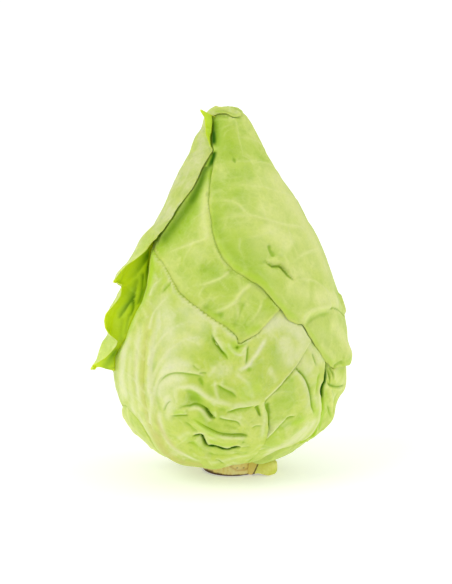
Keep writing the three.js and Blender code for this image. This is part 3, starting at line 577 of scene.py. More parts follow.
# a fold that runs up from the stalk; the sheet right of it is turned away from the light and also carries painted shade
crease(E, F(258, 448, 263, 443.3, 268, 438.3, 275, 431.3, 281, 424.3, 286.3, 419.3), 0.9, 0.7, 1.0, 3.4, 3.6, 0.55, 0.0, 0.75, (0.2, 0.1))
crease(E, F(285.8, 420, 287.6, 417.7, 290.5, 416.6, 295, 416), 0.9, 0.6, 0.5, 2.0, 1.6, 0.9, 0.35, 0.4, (0.05, 0.3))
crease(E, F(313.6, 413, 311.2, 406, 310.3, 399, 309.2, 391, 307.2, 384.3, 304.2, 378.2, 300, 373, 294.6, 368.2), 1.3, 0.7, 0.8, 3.2, 1.6, 0.75, 0.4, 0.35, (0.2, 0.05))
crease(E, F(315.4, 367, 313.4, 359, 311, 352), 0.8, 0.9, 0.4, 2.4, 1.6, 0.85, 0.15, 0.3, (0.3, 0.3))
# painted glow of light through the thin sheet, painted green shade in its hollows and beside the front left leaf's
# margin, painted dark shade in the long crease
top(BACKLIT_GLOW[E], F(319.5, 371, 317.6, 380, 316.3, 390, 315, 397), 0.7, 1.1, (0.2, 0.3))
ridge(REL[E], F(319.5, 371, 317.6, 380, 316.3, 390, 315, 397), -0.7, 1.2, (0.2, 0.3))
top(BACKLIT_GLOW[E], F(312.5, 399, 314.5, 408, 316, 418), 0.6, 1.6, (0.2, 0.3))
top(BACKLIT_GLOW[E], F(290, 424, 298, 421.5, 306, 415), 0.75, 2.4, (0.2, 0.3))
top(DEEP[E], F(284, 380, 289, 379, 294, 382), 0.85, 2.2, (0.2, 0.3))
top(DEEP[E], F(272, 392, 284, 387, 296, 392), 0.5, 4.5)
top(DEEP[E], F(270, 404, 282, 402, 296, 404), 0.45, 5.5)
top(DEEP[E], F(268, 418, 276, 420, 284, 416), 0.4, 4)
top(DEEP[E], F(276, 433, 284, 427, 294, 421, 304, 417), 0.6, 2.0, (0.2, 0.3))
top(DEEP[E], F(266.8, 402, 267.8, 409, 268.9, 417, 268.2, 424, 266.7, 430, 266.5, 436), 0.95, 1.3, (0.1, 0.1))
ridge(REL[E], F(266.8, 402, 268.5, 414, 268, 424, 266.6, 434), -1.3, 1.9, (0.1, 0.1))
crease(E, F(255, 454.6, 258, 452.6, 262, 451.3, 270, 448.8, 279, 446.2, 288, 443), 0.8, 0.55, 0.7, 2.6, 1.2, 0.65, 0.1, 0.4, (0.05, 0.3))
crease(E, F(262, 446.5, 266, 447.8, 272, 448.5), 0.3, 0.4, 0.2, 1.5, 0.8, 0.4, 0.0, 0.2)
ridge(REL[E], F(300, 395, 303, 410, 300, 422), 0.7, 3, round_=True)
ridge(REL[E], F(284, 438, 294, 432, 306, 424), 0.6, 3.2, round_=True)
top(PALE[E], F(322, 378, 319.2, 388, 319.2, 398, 319.6, 406, 319.8, 413, 318, 422, 314, 430, 308.6, 437, 303, 443), 0.95, 1.1, (0.1, 0.05))
top(PALE[E], F(316, 386, 315.5, 396, 317, 410), 0.55, 1.8)
top(DEEP[E], F(306, 334.5, 314, 346.5, 320, 355.5, 324, 361), 0.9, 0.9, (0.1, 0.0))
top(PALE[E], F(266, 455, 280, 449, 293, 441.5, 303, 432, 311, 424), 1.0, 5.2, (0.1, 0.1))
top(PALE[E], F(264, 459, 278, 455, 292, 449, 302, 442), 1.0, 3.6, (0.1, 0.0))
top(PALE[E], F(298, 442, 306, 434, 312, 426, 315, 417), 0.9, 3.0, (0.1, 0.2))
top(DARK[E], F(294.2, 367.6, 297.5, 370.6, 301.2, 374.4, 304, 378.4, 306.1, 382.4, 307.8, 387, 308.6, 391.5, 309.2, 397, 310, 402), 0.42, 0.5, (0.1, 0.3))
top(DEEP[E], F(294, 368, 301, 375, 305.6, 383, 308, 392, 309, 401, 311.5, 409), 0.8, 1.1, (0.1, 0.3))
top(PALE[E], F(298, 372, 304, 384, 307.5, 398, 306, 412), 0.5, 1.8)
top(PALE[E], F(303, 340, 308, 344, 312, 350, 320, 364), 0.75, 3.2)
top(PALE[E], F(262, 441, 270, 432, 279, 422), 0.45, 1.6)
top(PALE[E], F(296, 352, 304, 360, 312, 372), 0.45, 4)
top(BACKLIT_GLOW[E], F(262, 449, 275, 446, 286, 438), 0.35, 2.6)

G = "right_lower_leaf"
# the crevice under the front lower leaf: a sunk line with painted dark shade and green shade in it
ridge(REL[G], F(326, 361, 326, 371, 324.6, 381, 322.8, 390, 322.8, 400, 323.4, 410), -2.6, 1.2, (0.05, 0.3))
top(DARK[G], F(326.4, 360, 326.8, 368, 326.6, 375, 325.6, 381, 324.2, 386, 323.4, 391, 323.4, 398, 323.4, 403), 1.0, 1.15, (0.0, 0.15), 0.6)
top(DARK[G], F(326, 373, 325.8, 379, 324.6, 385), 1.0, 1.35, (0.2, 0.2))
top(DARK[G], F(323.8, 386, 322.8, 391, 322.8, 397, 323, 401), 1.0, 1.35, (0.2, 0.3))
top(DEEP[G], F(326.6, 361, 326.8, 376, 324, 390, 323.8, 404, 324.2, 412), 1.0, 1.3, (0.0, 0.2))
# folds with painted shade in their hollows
crease(G, F(345.5, 389.7, 338, 387.6, 332, 386.6, 328.3, 384.2, 326.6, 378.4), 0.9, 0.6, 0.6, 2.4, 1.6, 0.75, 0.1, 0.2, (0.15, 0.15))
crease(G, F(330.4, 378, 330.2, 373, 328.4, 366.5, 327, 362.6), 0.9, 0.8, 0.3, 2.0, 1.6, 0.85, 0.2, 0.2, (0.2, 0.1))
for x_, y_, r_, a_ in ((330.3, 377, 0.9, 0.9), (329.6, 370, 0.9, 0.6), (333.4, 369, 0.9, 0.6), (335, 381, 1.6, 0.3)):
    DEEP[G][:] = np.maximum(DEEP[G], a_ * blob_mask(*P(x_, y_), r_, 1.3 * r_))
crease(G, F(326.5, 364.5, 328.8, 371, 330.6, 379, 330, 386), 0.9, 0.7, 0.3, 2.0, 1.4, 0.9, 0.45, 0.2, (0.1, 0.3))
crease(G, F(330.5, 366.5, 333, 373, 333.6, 380), 0.8, 0.6, 0.3, 2.0, 1.2, 0.9, 0.35, 0.2, (0.1, 0.3))
crease(G, F(327.5, 405, 329.5, 412, 330.5, 420), 0.6, 0.7, 0.3, 2.0, 1.2, 0.7, 0.2, 0.2, (0.2, 0.3))
ridge(REL[G], F(333, 370, 334.5, 378, 337, 384), 0.8, 1.5)
ridge(REL[G], F(328.5, 388, 330.5, 398, 331, 409, 329, 420), 1.2, 1.8, round_=True)
ridge(REL[G], F(338, 392, 335, 403, 334, 415), -0.6, 2.0, round_=True)
# painted glow and painted shade in the strip under the front lower leaf's margin
top(BACKLIT_GLOW[G], F(326, 388, 326.5, 400, 328.5, 410, 329.5, 418), 0.75, 1.0, (0.1, 0.1))
top(BACKLIT_GLOW[G], F(322.8, 400, 323.6, 407, 323.8, 412, 322.8, 419, 319.2, 427, 313.2, 435.5, 306.5, 443), 1.0, 1.25, (0.0, 0.0))
top(DEEP[G], F(322.6, 400, 323.4, 407, 323.6, 412, 322.6, 419, 319, 427, 313, 435.5, 306.4, 443), 1.0, 1.35, (0.0, 0.0))
top(DARK[G], F(322.6, 400, 323.4, 407, 323.6, 412, 322.6, 419, 319, 427, 313, 435.5, 306.4, 443), 0.13, 1.2, (0.0, 0.0))
top(PALE[G], F(327.5, 396, 328, 406, 328.4, 420), 0.5, 1.4)
top(PALE[G], F(334, 372, 339, 380, 344, 386), 0.5, 3.6)
top(BACKLIT_GLOW[G], F(338, 368, 342, 371, 343, 378), 0.4, 2.0)
top(PALE[G], F(333, 392, 333.4, 404, 333, 416), 0.55, 2.2)
top(PALE[G], F(340, 378, 344, 384, 345, 388), 0.4, 2.0)

D = "front_upper_leaf"
vein(D, F(252, 283, 247, 287.5, 242, 291.7, 238, 297, 235.6, 301.5, 229, 306, 220, 310, 208, 311), 1.15, 0.5, 3.0, 1.0, (0.1, 0.45))
vein(D, F(235.6, 301.5, 238, 312, 236, 324), 0.7, 0.2, 2.0, 0.5)
vein(D, F(229, 271, 224, 276, 219, 279, 206, 283.5, 190, 286), 0.85, 0.35, 2.4, 0.75)
vein(D, F(209.5, 236.5, 203, 240, 194, 243, 180, 247.5, 164, 254), 0.9, 0.35, 2.6, 0.75)
vein(D, F(194, 243, 186, 254, 182, 266), 0.6, 0.2, 1.8, 0.4)
vein(D, F(206, 283.5, 200, 292, 198, 300), 0.6, 0.2, 1.8, 0.45)
vein(D, F(208, 205, 200, 214, 190, 222), 0.6, 0.2, 1.8, 0.4)
vein(D, F(262, 300, 258, 312, 250, 324), 0.7, 0.2, 2.0, 0.5)
vein(D, F(219, 279, 226, 288, 232, 292), 0.5, 0.15, 1.6, 0.35)
# painted highlight along the lit lower margin, and painted glow of light through the sheet along its lower left margin
top(PALE[D], F(281, 309.5, 271, 318.6, 265, 325, 260, 330.4, 254, 335, 248, 339, 240, 344), 1.0, 0.9, (0.0, 0.0))
top(BACKLIT_GLOW[D], F(214, 317.6, 220, 321, 226, 324, 232, 328, 238, 335), 0.6, 1.2, (0.1, 0.2))
top(BACKLIT_GLOW[D], F(245, 333, 254, 329.6, 261, 323), 0.6, 2.4, (0.1, 0.2))
top(BACKLIT_GLOW[D], F(206, 310, 213, 315, 219, 318.5), 0.7, 1.6, (0.1, 0.2))
top(PALE[D], F(248, 290, 244, 300, 240, 306), 0.4, 6)
top(PALE[D], F(250, 285, 258, 292, 266, 300), 0.45, 5)
top(PALE[D], F(206, 178, 207, 196, 208, 214, 209, 226), 0.7, 3.0, (0.2, 0.2))
top(PALE[D], F(186, 240, 194, 252, 204, 262), 0.45, 5)
top(PALE[D], F(160, 258, 172, 277, 186, 294), 0.35, 5)
ridge(REL[D], F(225, 316, 214, 313, 202, 305), -0.9, 3.2)
ridge(REL[D], F(262, 303, 254, 316, 245, 327), 0.8, 3.2)
ridge(REL[D], F(245, 300, 238, 318, 232, 330), -0.8, 3.0)
ridge(REL[D], F(222, 262, 212, 268, 200, 270), -0.7, 4)
ridge(REL[D], F(205, 292, 195, 296, 186, 292), 0.6, 3)
ridge(REL[D], F(198, 216, 190, 226, 183, 236), 0.5, 3)
ridge(REL[D], F(226, 270, 230, 274, 234, 273), -0.7, 1.4)
top(DEEP[D], F(226, 314, 214, 312, 203, 304), 0.6, 4.5)
top(DEEP[D], F(208, 262, 214, 272, 226, 282), 0.55, 5)
top(DEEP[D], F(236, 335, 250, 322, 262, 310), 0.4, 4)
top(DEEP[D], F(198, 310, 212, 321, 226, 333), 0.4, 3)
# painted shadow and glow: a green band on this leaf beside the left upper leaf's margin, darker close under it, with
# small dark spots
top(BACKLIT_GLOW[D], F(158, 252, 168, 240, 178, 228, 188, 214, 198, 198, 205, 184, 209, 170), 0.3, 7.0, (0.0, 0.0), 4.0)
top(DEEP[D], F(156, 250, 164, 238, 174, 226, 183, 212, 194, 197, 203, 181, 209, 167), 1.0, 4.8, (0.0, 0.0), 3.0)
top(DEEP[D], F(172, 240, 180, 230, 189, 215, 198, 199), 0.75, 4.4, (0.2, 0.2))
top(DARK[D], F(173, 232, 177, 227, 181, 222), 0.22, 1.6, (0.3, 0.3))
top(DEEP[D], F(153, 256, 156, 268, 160, 280), 0.5, 3.0, (0.0, 0.4))
top(DARK[D], F(155.5, 247, 160, 241, 165.5, 235, 171.5, 227, 176.5, 219.5, 182, 211.5, 187.5, 204, 192, 197), 0.55, 7.0, (0.2, 0.1), 6.0)
top(DARK[D], F(176, 221, 182, 212.5, 188, 204.5, 193, 196, 196.3, 188, 200, 180, 202.6, 172, 205.5, 166), 0.68, 5.8, (0.4, 0.0), 2.8)
top(DEEP[D], F(158, 247, 168, 234, 176.5, 222, 184, 211, 194, 196, 202, 178), 0.95, 8.0, (0.1, 0.0), 3.0)
for x_, y_, r_ in ((175, 228.5, 0.9), (179, 225.5, 0.7), (171.5, 232.5, 0.8), (178, 232, 0.5), (182.5, 229, 0.4)):
    DARK[D][:] = np.maximum(DARK[D], 0.42 * blob_mask(*P(x_, y_), r_, r_))
top(PALE[D], F(256, 312, 262, 318, 256, 328), 0.4, 3.5)
top(PALE[D], F(207, 182, 204.6, 200, 203.6, 218, 207, 237, 211, 246), 0.9, 2.6, (0.2, 0.2))
# painted shade in small creases, under the margins of the leaves above, and beside the turned-back strip
top(DARK[D], F(207.2, 190.5, 206.6, 194.5, 205.6, 198), 0.34, 1.1, (0.2, 0.3))
top(DARK[D], F(227.5, 271.8, 230.2, 270, 233, 272), 0.34, 1.2, (0.2, 0.2))
top(DARK[D], F(211.8, 233, 215.4, 243, 218.9, 252, 223.9, 261.5, 229.5, 269), 0.34, 0.9, (0.3, 0.1))
top(DARK[D], F(230.5, 270.8, 239.6, 277.3, 249.5, 283, 258.4, 289.3, 267.3, 297.8, 274.3, 304.8), 0.26, 0.9, (0.1, 0.2))
top(DEEP[D], F(209, 166, 213, 150, 212, 135, 211, 122), 1.0, 4, (0.0, 0.0))

Cc = "right_upper_leaf"
vein(Cc, F(304, 228, 296, 226, 287.6, 225, 276, 222.5, 266, 219.5, 257, 217, 248.6, 215.5, 237.7, 216, 226, 217.5, 216, 220), 0.95, 0.35, 2.6, 0.85)
vein(Cc, F(248.6, 215.5, 245, 212, 242, 208.5, 237, 204, 231, 201, 221, 200.3, 212, 201), 0.75, 0.28, 2.2, 0.65)
vein(Cc, F(318, 248, 307, 252.5, 298.5, 257.5, 287.6, 264), 0.95, 0.35, 2.6, 0.75)
vein(Cc, F(277, 228.5, 271, 231.5, 266, 234, 255, 236.8, 244, 238), 0.65, 0.22, 2.0, 0.5)
vein(Cc, F(331, 295, 323, 287, 314.7, 281, 306, 279.5, 298.5, 280, 287.6, 286.5, 280, 294), 0.85, 0.3, 2.4, 0.65)
vein(Cc, F(300, 200, 288, 193.5, 276.8, 190, 263, 187, 250.7, 185.4, 236, 184, 222, 184.5), 0.8, 0.3, 2.4, 0.6)
vein(Cc, F(286, 172, 272, 165, 258, 161, 240, 160, 222, 162), 0.75, 0.25, 2.2, 0.5)
vein(Cc, F(272, 148, 260, 141, 246, 137, 230, 137), 0.65, 0.22, 2.0, 0.45)
vein(Cc, F(332, 306, 322, 308, 312, 311, 304, 316.5, 299.5, 323), 1.3, 0.4, 3.6, 0.75, (0.05, 0.05))
vein(Cc, F(266, 219.5, 262, 206, 256, 196), 0.55, 0.18, 1.6, 0.4)
vein(Cc, F(287, 225, 290, 238, 288, 250), 0.55, 0.18, 1.6, 0.4)
vein(Cc, F(263, 187, 259, 176, 252, 168), 0.5, 0.16, 1.6, 0.35)
vein(Cc, F(298, 257, 292, 246, 281, 241), 0.5, 0.16, 1.6, 0.35)
vein(Cc, F(240, 238, 240, 250, 246, 262), 0.5, 0.16, 1.6, 0.35)
vein(Cc, F(236, 118, 239, 135, 243, 152, 246, 166), 0.6, 0.2, 2.4, 0.3)
# painted shadow on the leaves under the left upper leaf: beside its margin and turned-back strip and under its hood,
# and painted shade on the hood's lip
for leaf in (D, Cc):
    top(DARK[leaf], F(213.6, 150, 212.8, 156, 210.6, 161, 208, 166, 205, 172), 0.95, 1.7, (0.1, 0.5))
    top(DEEP[leaf], F(214, 150, 212, 156, 209, 162, 205, 171), 1.0, 2.2, (0.0, 0.2))
top(DARK[Cc], F(212.2, 116, 212.6, 122, 213, 129, 213.2, 136, 213.2, 144), 0.62, 2.4, (0.3, 0.2))
top(DARK[Cc], F(212.6, 124, 213, 130, 213.4, 137, 213.4, 146), 0.95, 1.6, (0.4, 0.2))
top(DEEP[Cc], F(213.5, 116, 214.5, 124, 215.4, 132, 215.6, 141, 214.5, 148), 1.0, 3.0, (0.1, 0.1))
top(DEEP["left_upper_leaf"], F(213.5, 112.4, 218, 111, 223, 110.4, 228, 111.6, 233, 113, 238, 113), 0.85, 0.9, (0.1, 0.2))
top(DARK[Cc], F(213.5, 116.6, 217, 115, 222, 114.2, 227, 114.6), 0.5, 0.9, (0.1, 0.2))
step(REL[Cc], F(264, 259.5, 268, 262.6, 273, 264.6, 280, 264.8, 284.5, 268.5, 290, 275, 296, 281.5), 0.9, 4, 1.5, 3, (0.25, 0.3))
ridge(REL[Cc], F(267, 262.5, 273, 265, 280, 265.4, 284.5, 269, 290, 275.5), -1.2, 0.9, (0.2, 0.3))
ridge(REL[Cc], F(268.5, 244, 270, 250.5, 274, 258), -1.0, 1.8)
ridge(REL[Cc], F(276, 252, 284, 258, 288, 266), 0.7, 2.4)
ridge(REL[Cc], F(332, 306, 320, 308, 309, 312, 300, 322), 1.1, 3.4, (0.1, 0.1))
ridge(REL[Cc], F(334, 312, 322, 315, 311, 321, 305, 329), -0.7, 3.0, (0.1, 0.1))
ridge(REL[Cc], F(327, 308.6, 335, 308.2, 341, 311, 346, 316), -1.0, 0.9, (0.1, 0.1))
ridge(REL[Cc], F(340, 292, 343, 302, 345, 314), 1.2, 2.4)
ridge(REL[Cc], F(333, 368, 336, 364, 341, 361.5), -1.2, 1.0, (0.0, 0.2))
ridge(REL[Cc], F(232, 150, 235, 164, 236, 178), -0.5, 3.0)
ridge(REL[Cc], F(252, 240, 250, 258, 256, 272), -0.5, 4)
ridge(REL[Cc], F(246, 262, 262, 277, 274, 293), 0.6, 3)
ridge(REL[Cc], F(234, 157, 236, 161), -0.7, 1.0)
top(DEEP[Cc], F(252, 236, 256, 254, 266, 266), 0.5, 6)
top(DEEP[Cc], F(226, 172, 240, 178, 256, 182), 0.4, 6)
top(DEEP[Cc], F(222, 206, 232, 214, 236, 230), 0.35, 6)
top(DEEP[Cc], F(306, 325, 322, 338, 330, 352), 0.3, 5)
top(DEEP[Cc], F(214, 134, 224, 150, 232, 160), 0.35, 5)
# painted light: broad paler fields on the right side of this leaf, where it is lit more brightly
top(PALE[Cc], F(268, 158, 284, 185, 303, 218, 321, 256, 331, 290), 0.9, 11)
top(PALE[Cc], F(290, 262, 300, 272, 312, 282), 0.5, 6)
top(PALE[Cc], F(264, 222, 278, 237, 292, 250), 0.85, 7)
top(PALE[Cc], F(336, 328, 344, 342, 346, 356), 0.9, 5)
top(DEEP[Cc], F(211.5, 212, 215, 228, 221, 242), 0.7, 4.5)
top(DEEP[Cc], F(236, 188, 242, 202, 241, 216), 0.5, 6)
top(DEEP[Cc], F(216, 172, 216, 186, 215, 200), 0.4, 4)
# painted glow of light through the thin sheet along this leaf's lower margin, and painted green shade beside it
top(BACKLIT_GLOW[Cc], F(213.5, 230, 219, 244, 226, 256, 233.5, 265, 244, 272.5, 256, 278.6, 266, 287, 277, 300.5, 286, 311.5, 296, 318.6, 303, 320), 0.7, 1.7, (0.15, 0.1))
top(BACKLIT_GLOW[Cc], F(304.5, 324, 311, 333.5, 319, 345.5, 328, 358.5, 334, 365), 0.5, 1.5, (0.1, 0.1))
top(PALE[Cc], F(320, 344, 328, 354, 335, 360), 0.5, 3)
top(DEEP[Cc], F(218, 228, 225, 244, 234, 256, 246, 266, 258, 272, 268, 282, 276, 292), 0.55, 3.6, (0.2, 0.3))
blob(REL[Cc], 74, 94, 9, 7, 2.3)
# more painted light: broad paler fields where this leaf is lit more brightly
top(PALE[Cc], F(312, 300, 328, 297, 340, 303), 0.95, 7)
top(PALE[Cc], F(330, 322, 340, 332, 345, 346), 0.8, 6)
top(PALE[Cc], F(294, 322, 304, 336, 312, 350), 0.25, 4)
top(PALE[Cc], F(255, 205, 272, 215, 290, 222), 0.45, 8)
top(PALE[Cc], F(285, 285, 300, 290, 312, 296), 0.6, 7)
top(PALE[Cc], F(262, 262, 258, 248, 262, 240), 0.3, 5)

B = "left_upper_leaf"
vein(B, F(196, 176, 188, 182, 178, 196), 0.6, 0.2, 2.2, 0.35)
vein(B, F(172, 206, 166, 210, 156, 224), 0.6, 0.2, 2.2, 0.35)
# backs: a thick midrib and side veins that arch up to the margin
def pinnate(leaf, mid, lo, hi, gap, reach_l, reach_r, rib=(2.4, 7.5, 1.6), v=0.85, phase=0.0):
    ridge(REL[leaf], mid, rib[0], rib[1], (0.10, 0.3), rib[2], 0.5, round_=True)
    top(PALE[leaf], mid, 1.0, rib[1] * 1.5, (0.0, 0.2), rib[2] * 2.2)
    top(VEIN[leaf], mid, 0.7, rib[1] * 0.5, (0.0, 0.2), rib[2] * 0.6)
    m = np.array(mid)
    s = lo + phase
    side = 0
    r = np.random.default_rng(int(lo * 7 + gap * 13 + abs(mid[0][0])))
    while s < hi:
        side = 1 - side
        sg = 1 if side else -1
        lim = reach_r if side else reach_l
        t0 = float(np.interp(s, m[:, 1], m[:, 0]))
        rise = 30 + 26 * (s - lo) / (hi - lo) + r.uniform(-4, 4)
        pts, t, q = [(t0, s)], t0, s
        n = 7
        for i in range(1, n + 1):
            u = i / n
            q = min(s + rise * (0.55 * u + 0.55 * u * u), S_MAX - 4)
            t = t0 + sg * lim * (1 - 0.25 * (s - lo) / (hi - lo)) * (u ** 0.9) + r.uniform(-0.8, 0.8)
            pts.append((t, q))
        vein(leaf, pts, 1.2, 0.55, 3.2, v * 0.8, (0.0, 0.6), 0.5)
        for j in (2, 4):
            a = np.array(pts[j])
            br = [tuple(a), tuple(a + np.array([sg * 5, -3 + r.uniform(-1, 1)]) ), tuple(a + np.array([sg * 10, -2 + r.uniform(-2, 3)]))]
            vein(leaf, br, 0.6, 0.2, 1.8, v * 0.45, (0.0, 0.7), 0.35)
        s += gap * (0.5 + r.uniform(-0.08, 0.08))


pinnate(Cc, [(152, 3), (154, 40), (158, 90), (163, 140), (168, 190), (176, 228)], 26, 190, 27, 40, 34, phase=2)
pinnate(B, [(-128, 3), (-132, 40), (-138, 90), (-143, 140), (-150, 190), (-160, 232)], 22, 195, 26, 44, 24, phase=6)
pinnate("back_lower_leaf", [(172, 3), (172, 60), (172, 120), (172, 150)], 20, 110, 28, 40, 40)
pinnate("left_lower_leaf", [(-80, 3), (-81, 30), (-80, 62), (-76, 135)], 18, 100, 26, 30, 26, (1.9, 5, 1.6), 0.8)
pinnate(G, [(136, 3), (132, 40), (126, 90), (112, 145)], 20, 110, 25, 34, 24, (1.6, 5, 1.5), 0.7)

# =====================================================================================
# Laying the leaves: H is the outer height reached so far over the skin, mm
# =====================================================================================
THICK, GAP, FULL = 0.66, 0.12, 4.4
GAIN = {A: 1.25, E: 1.25, G: 1.3, D: 1.4, Cc: 1.4, B: 1.1}
# broad paler fields; on the right upper leaf they are painted light where it is lit more brightly
for n_, x_, y_, rx_, ry_, a_ in (
        (Cc, 256, 190, 9, 12, 0.26), (Cc, 282, 200, 9, 16, 0.24), (Cc, 254, 236, 8, 8, 0.34), (Cc, 290, 236, 11, 13, 0.30),
        (Cc, 308, 258, 9, 12, 0.20), (Cc, 272, 294, 8, 9, 0.34), (Cc, 274, 313, 7, 7, 0.42), (Cc, 300, 324, 11, 9, 0.34),
        (Cc, 323, 333, 8, 8, 0.50), (Cc, 331, 300, 8, 12, 0.20), (Cc, 308, 296, 9, 8, 0.20), (Cc, 272, 271, 5, 4, 0.34),
        (E, 296, 364, 8, 9, 0.26), (E, 310, 374, 6, 7, 0.26), (A, 168, 340, 6, 11, 0.30), (A, 172, 368, 8, 12, 0.42),
        (A, 166, 398, 6, 9, 0.48), (A, 150, 428, 6, 7, 0.36), (A, 186, 336, 5, 8, 0.24), (A, 284, 356, 7, 9, 0.30),
        (A, 254, 332, 5, 6, 0.24)):
    blob(PALE[n_], *P(x_, y_), rx_, ry_, a_)

for i, n in enumerate(ORDER):
    REL[n] *= GAIN.get(n, 1.1) * (0.25 + 0.75 * sm(S_R, 14, 36)[:, None])
    REL[n] += (0.42 * noise(11, 20 + i, 1.4) + 0.22 * noise(4.5, 40 + i) + 0.08 * noise(1.8, 60 + i)) * (0.3 + 0.7 * sm(S_R, 14, 36)[:, None])

_turn = np.interp(S_R, FOLD[:, 1], FOLD[:, 0] + 2.0, left=400, right=400)
UNDER = dict(MASK)      # the part of each leaf that lies on the head: the turned-back strip does not
_clear = np.interp(S_R, [60, 154, 170, 171], [-84, -84, -50, 400])      # it stands clear of the head where it flares
UNDER[B] = np.minimum(MASK[B], (np.minimum(_turn, _clear)[:, None] - TH_C[None]) * K_MM[:, None])
UNDER[B][:, TH_C > 60] = MASK[B][:, TH_C > 60]
# painted shade on each leaf beside the margins of the leaves lying over it: a soft green band and a darker seam at the
# margin
for i, n in enumerate(ORDER):
    wav = 0.62 + 0.38 * np.clip(noise(9, 300 + i), -1.2, 1.2)
    for m in ORDER[i + 1:]:
        out = -UNDER[m]
        tone = np.where(out > -1.0, np.exp(-np.maximum(out, 0) / (1.6 if m != B else 3.2)), 0) * wav * (0.40 if m != B else 0.5)
        seam = np.clip(0.5 + 0.75 * noise(5, 500 + i), 0, 1)
        if m == D:
            seam = 0.25 * seam
            tone = 0.5 * tone
        elif m == Cc:
            seam = seam * (1 - 0.8 * ((1 - sm(TH_C, -8, 4))[None] * (1 - sm(S_R, 198, 208))[:, None]))
        DEEP[n] = np.maximum(DEEP[n], tone)
        DEEP[n] = np.maximum(DEEP[n], (0.9 * seam + (0.05 if m == D else 0.2)) * np.exp(-(np.maximum(out, 0) / 0.7) ** 2) * (out > -2))
        DARK[n] = np.maximum(DARK[n], 0.20 * seam * np.exp(-(np.maximum(out - 0.1, 0) / 0.5) ** 2) * (out > -2))
        if n == G and m == E:       # the bright strip beside the front leaf's lower margin: painted green shade and painted glow of light through the sheet
            strip = (1 - sm(S_R, F(322.6, 404)[0][1], F(322.6, 399)[0][1]))[:, None] * (out > -2) * (1 - sm(out, 1.5, 2.6))
            DEEP[n] = np.maximum(DEEP[n], strip)
            BACKLIT_GLOW[n] = np.maximum(BACKLIT_GLOW[n], strip)

Z_R, R_R = prof(S_R)[1], prof(S_R)[0]
_side = np.clip(-np.sin(np.radians(TH_C)), 0.3, 1)[None]
_slope = np.gradient(R_R, S_R)
_nr = np.sqrt(np.clip(1 - _slope ** 2, 0.15, 1))[:, None]
_cx = -1.6 * sm(Z_R, 12, 30) * (1 - sm(Z_R, 45, 75)) - 1.8 * sm(Z_R, 150, 205)
blob(REL[G], 84, 53, 13, 8.5, 3.6)
blob(REL[G], 88, 73, 9, 6, 2.4)
blob(REL[G], 62, 45, 9, 5, 3.2)
blob(REL["left_lower_leaf"], -90, 50, 26, 10, 2.2)
blob(REL["left_lower_leaf"], -92, 66, 22, 8, 1.6)
XC = np.interp(Z_R, [60, 68, 75, 84, 93, 102, 108, 117, 125, 135, 145, 155, 165, 175, 185, 195],
               [80, 73, 67.5, 62, 59, 55, 51.5, 48.8, 47.8, 46.8, 43.5, 38.5, 33, 27.5, 22, 17.5])


def drawn_in(extra, z_hi):
    """Height at which the left side stops: the head is slimmer under the flared leaf."""
    h = (((XC + extra + _cx)[:, None]) / _side - R_R[:, None]) / _nr
    w_th = sm(TH_C, -142, -112) * (1 - sm(TH_C, -42, -28))
    w_z = sm(Z_R, 62, 74) * (1 - sm(Z_R, z_hi - 14, z_hi))
    return h + (1 - w_th[None] * w_z[:, None]) * 25


def lesser(a, b, k):
    m = np.minimum(a, b)
    return m - np.log1p(np.exp(-np.abs(a - b) * k)) / k


hollow = Z()
for (th, s, dep, rx, ry) in ((-66, 172, 1.0, 12, 12), (-56, 188, 0.9, 10, 11), (-48, 202, 0.9, 8, 10), (-42, 216, 1.1, 6.5, 10), (-40, 230, 1.7, 5, 9), (-42, 241, 1.6, 4, 5)):
    blob(hollow, th, s, rx, ry, dep)
BASE_UP = 3.4 * (sm(TH_C, -20, 4) * (1 - sm(TH_C, 62, 88)))[None] * (1 - sm(S_R, 24, 46))[:, None]   # they end higher above the stalk there
BASE_UP = BASE_UP + 2.2 * (sm(TH_C, -85, -55) * (1 - sm(TH_C, -30, -16)))[None] * (1 - sm(S_R, 12, 28))[:, None]
BASE_UP = BASE_UP + 1.9 * (sm(TH_C, 0, 40) * (1 - sm(TH_C, 130, 170)))[None] * sm(S_R, 224, 243)[:, None]   # and the top slopes off to the right
ceiling = np.full((NR, NC), FULL + 4.5)
TOPS = {}
for n in ORDER[::-1]:
    base = FULL - 0.15 + REL[n]
    if n == B:
        base = lesser(base, drawn_in(1.6, 150), 1.0)
        soft = (sm(TH_C, -136, -118) * (1 - sm(TH_C, -66, -46)))[None] * (sm(S_R, 136, 150) * (1 - sm(S_R, 176, 192)))[:, None]
        base = base + (blur(base, 7.5) - base) * soft
        blob(base, -90, 238.5, 5, 5, -2.0)
        blob(base, -96, 184, 26, 16, -1.9)
    else:
        base = lesser(base - (0.4 if n == Cc else 1.0) * hollow, drawn_in(0, 204), 1.0)
    base = base - BASE_UP
    if n == A:
        base += 0.35 * sm(S_R, 25, 50)[:, None]
    c = ceiling.copy()
    for _ in range(3):
        c = np.minimum(ceiling, blur(c, 3.6))
    c = np.minimum(blur(c, 0.6), ceiling) - 0.04
    TOPS[n] = lesser(base, c, 4.0)
    over = UNDER[n]
    ceiling = np.where(over > -0.7, np.minimum(ceiling, TOPS[n] - THICK - GAP), ceiling)
c = ceiling.copy()
for _ in range(3):
    c = np.minimum(ceiling, blur(c, 2.5))
H_HEART = np.minimum(lesser(FULL - 0.6 + 0 * c, c, 3.0), ceiling) - 0.25
# how far each leaf's surface lies below its surroundings (+ in hollows, - on crests); the leaf material paints shade in
# the hollows and highlight on the crests from it
CAV = {n: np.clip((blur(TOPS[n], 1.9) - TOPS[n]) / 0.8, -1, 1) for n in ORDER}


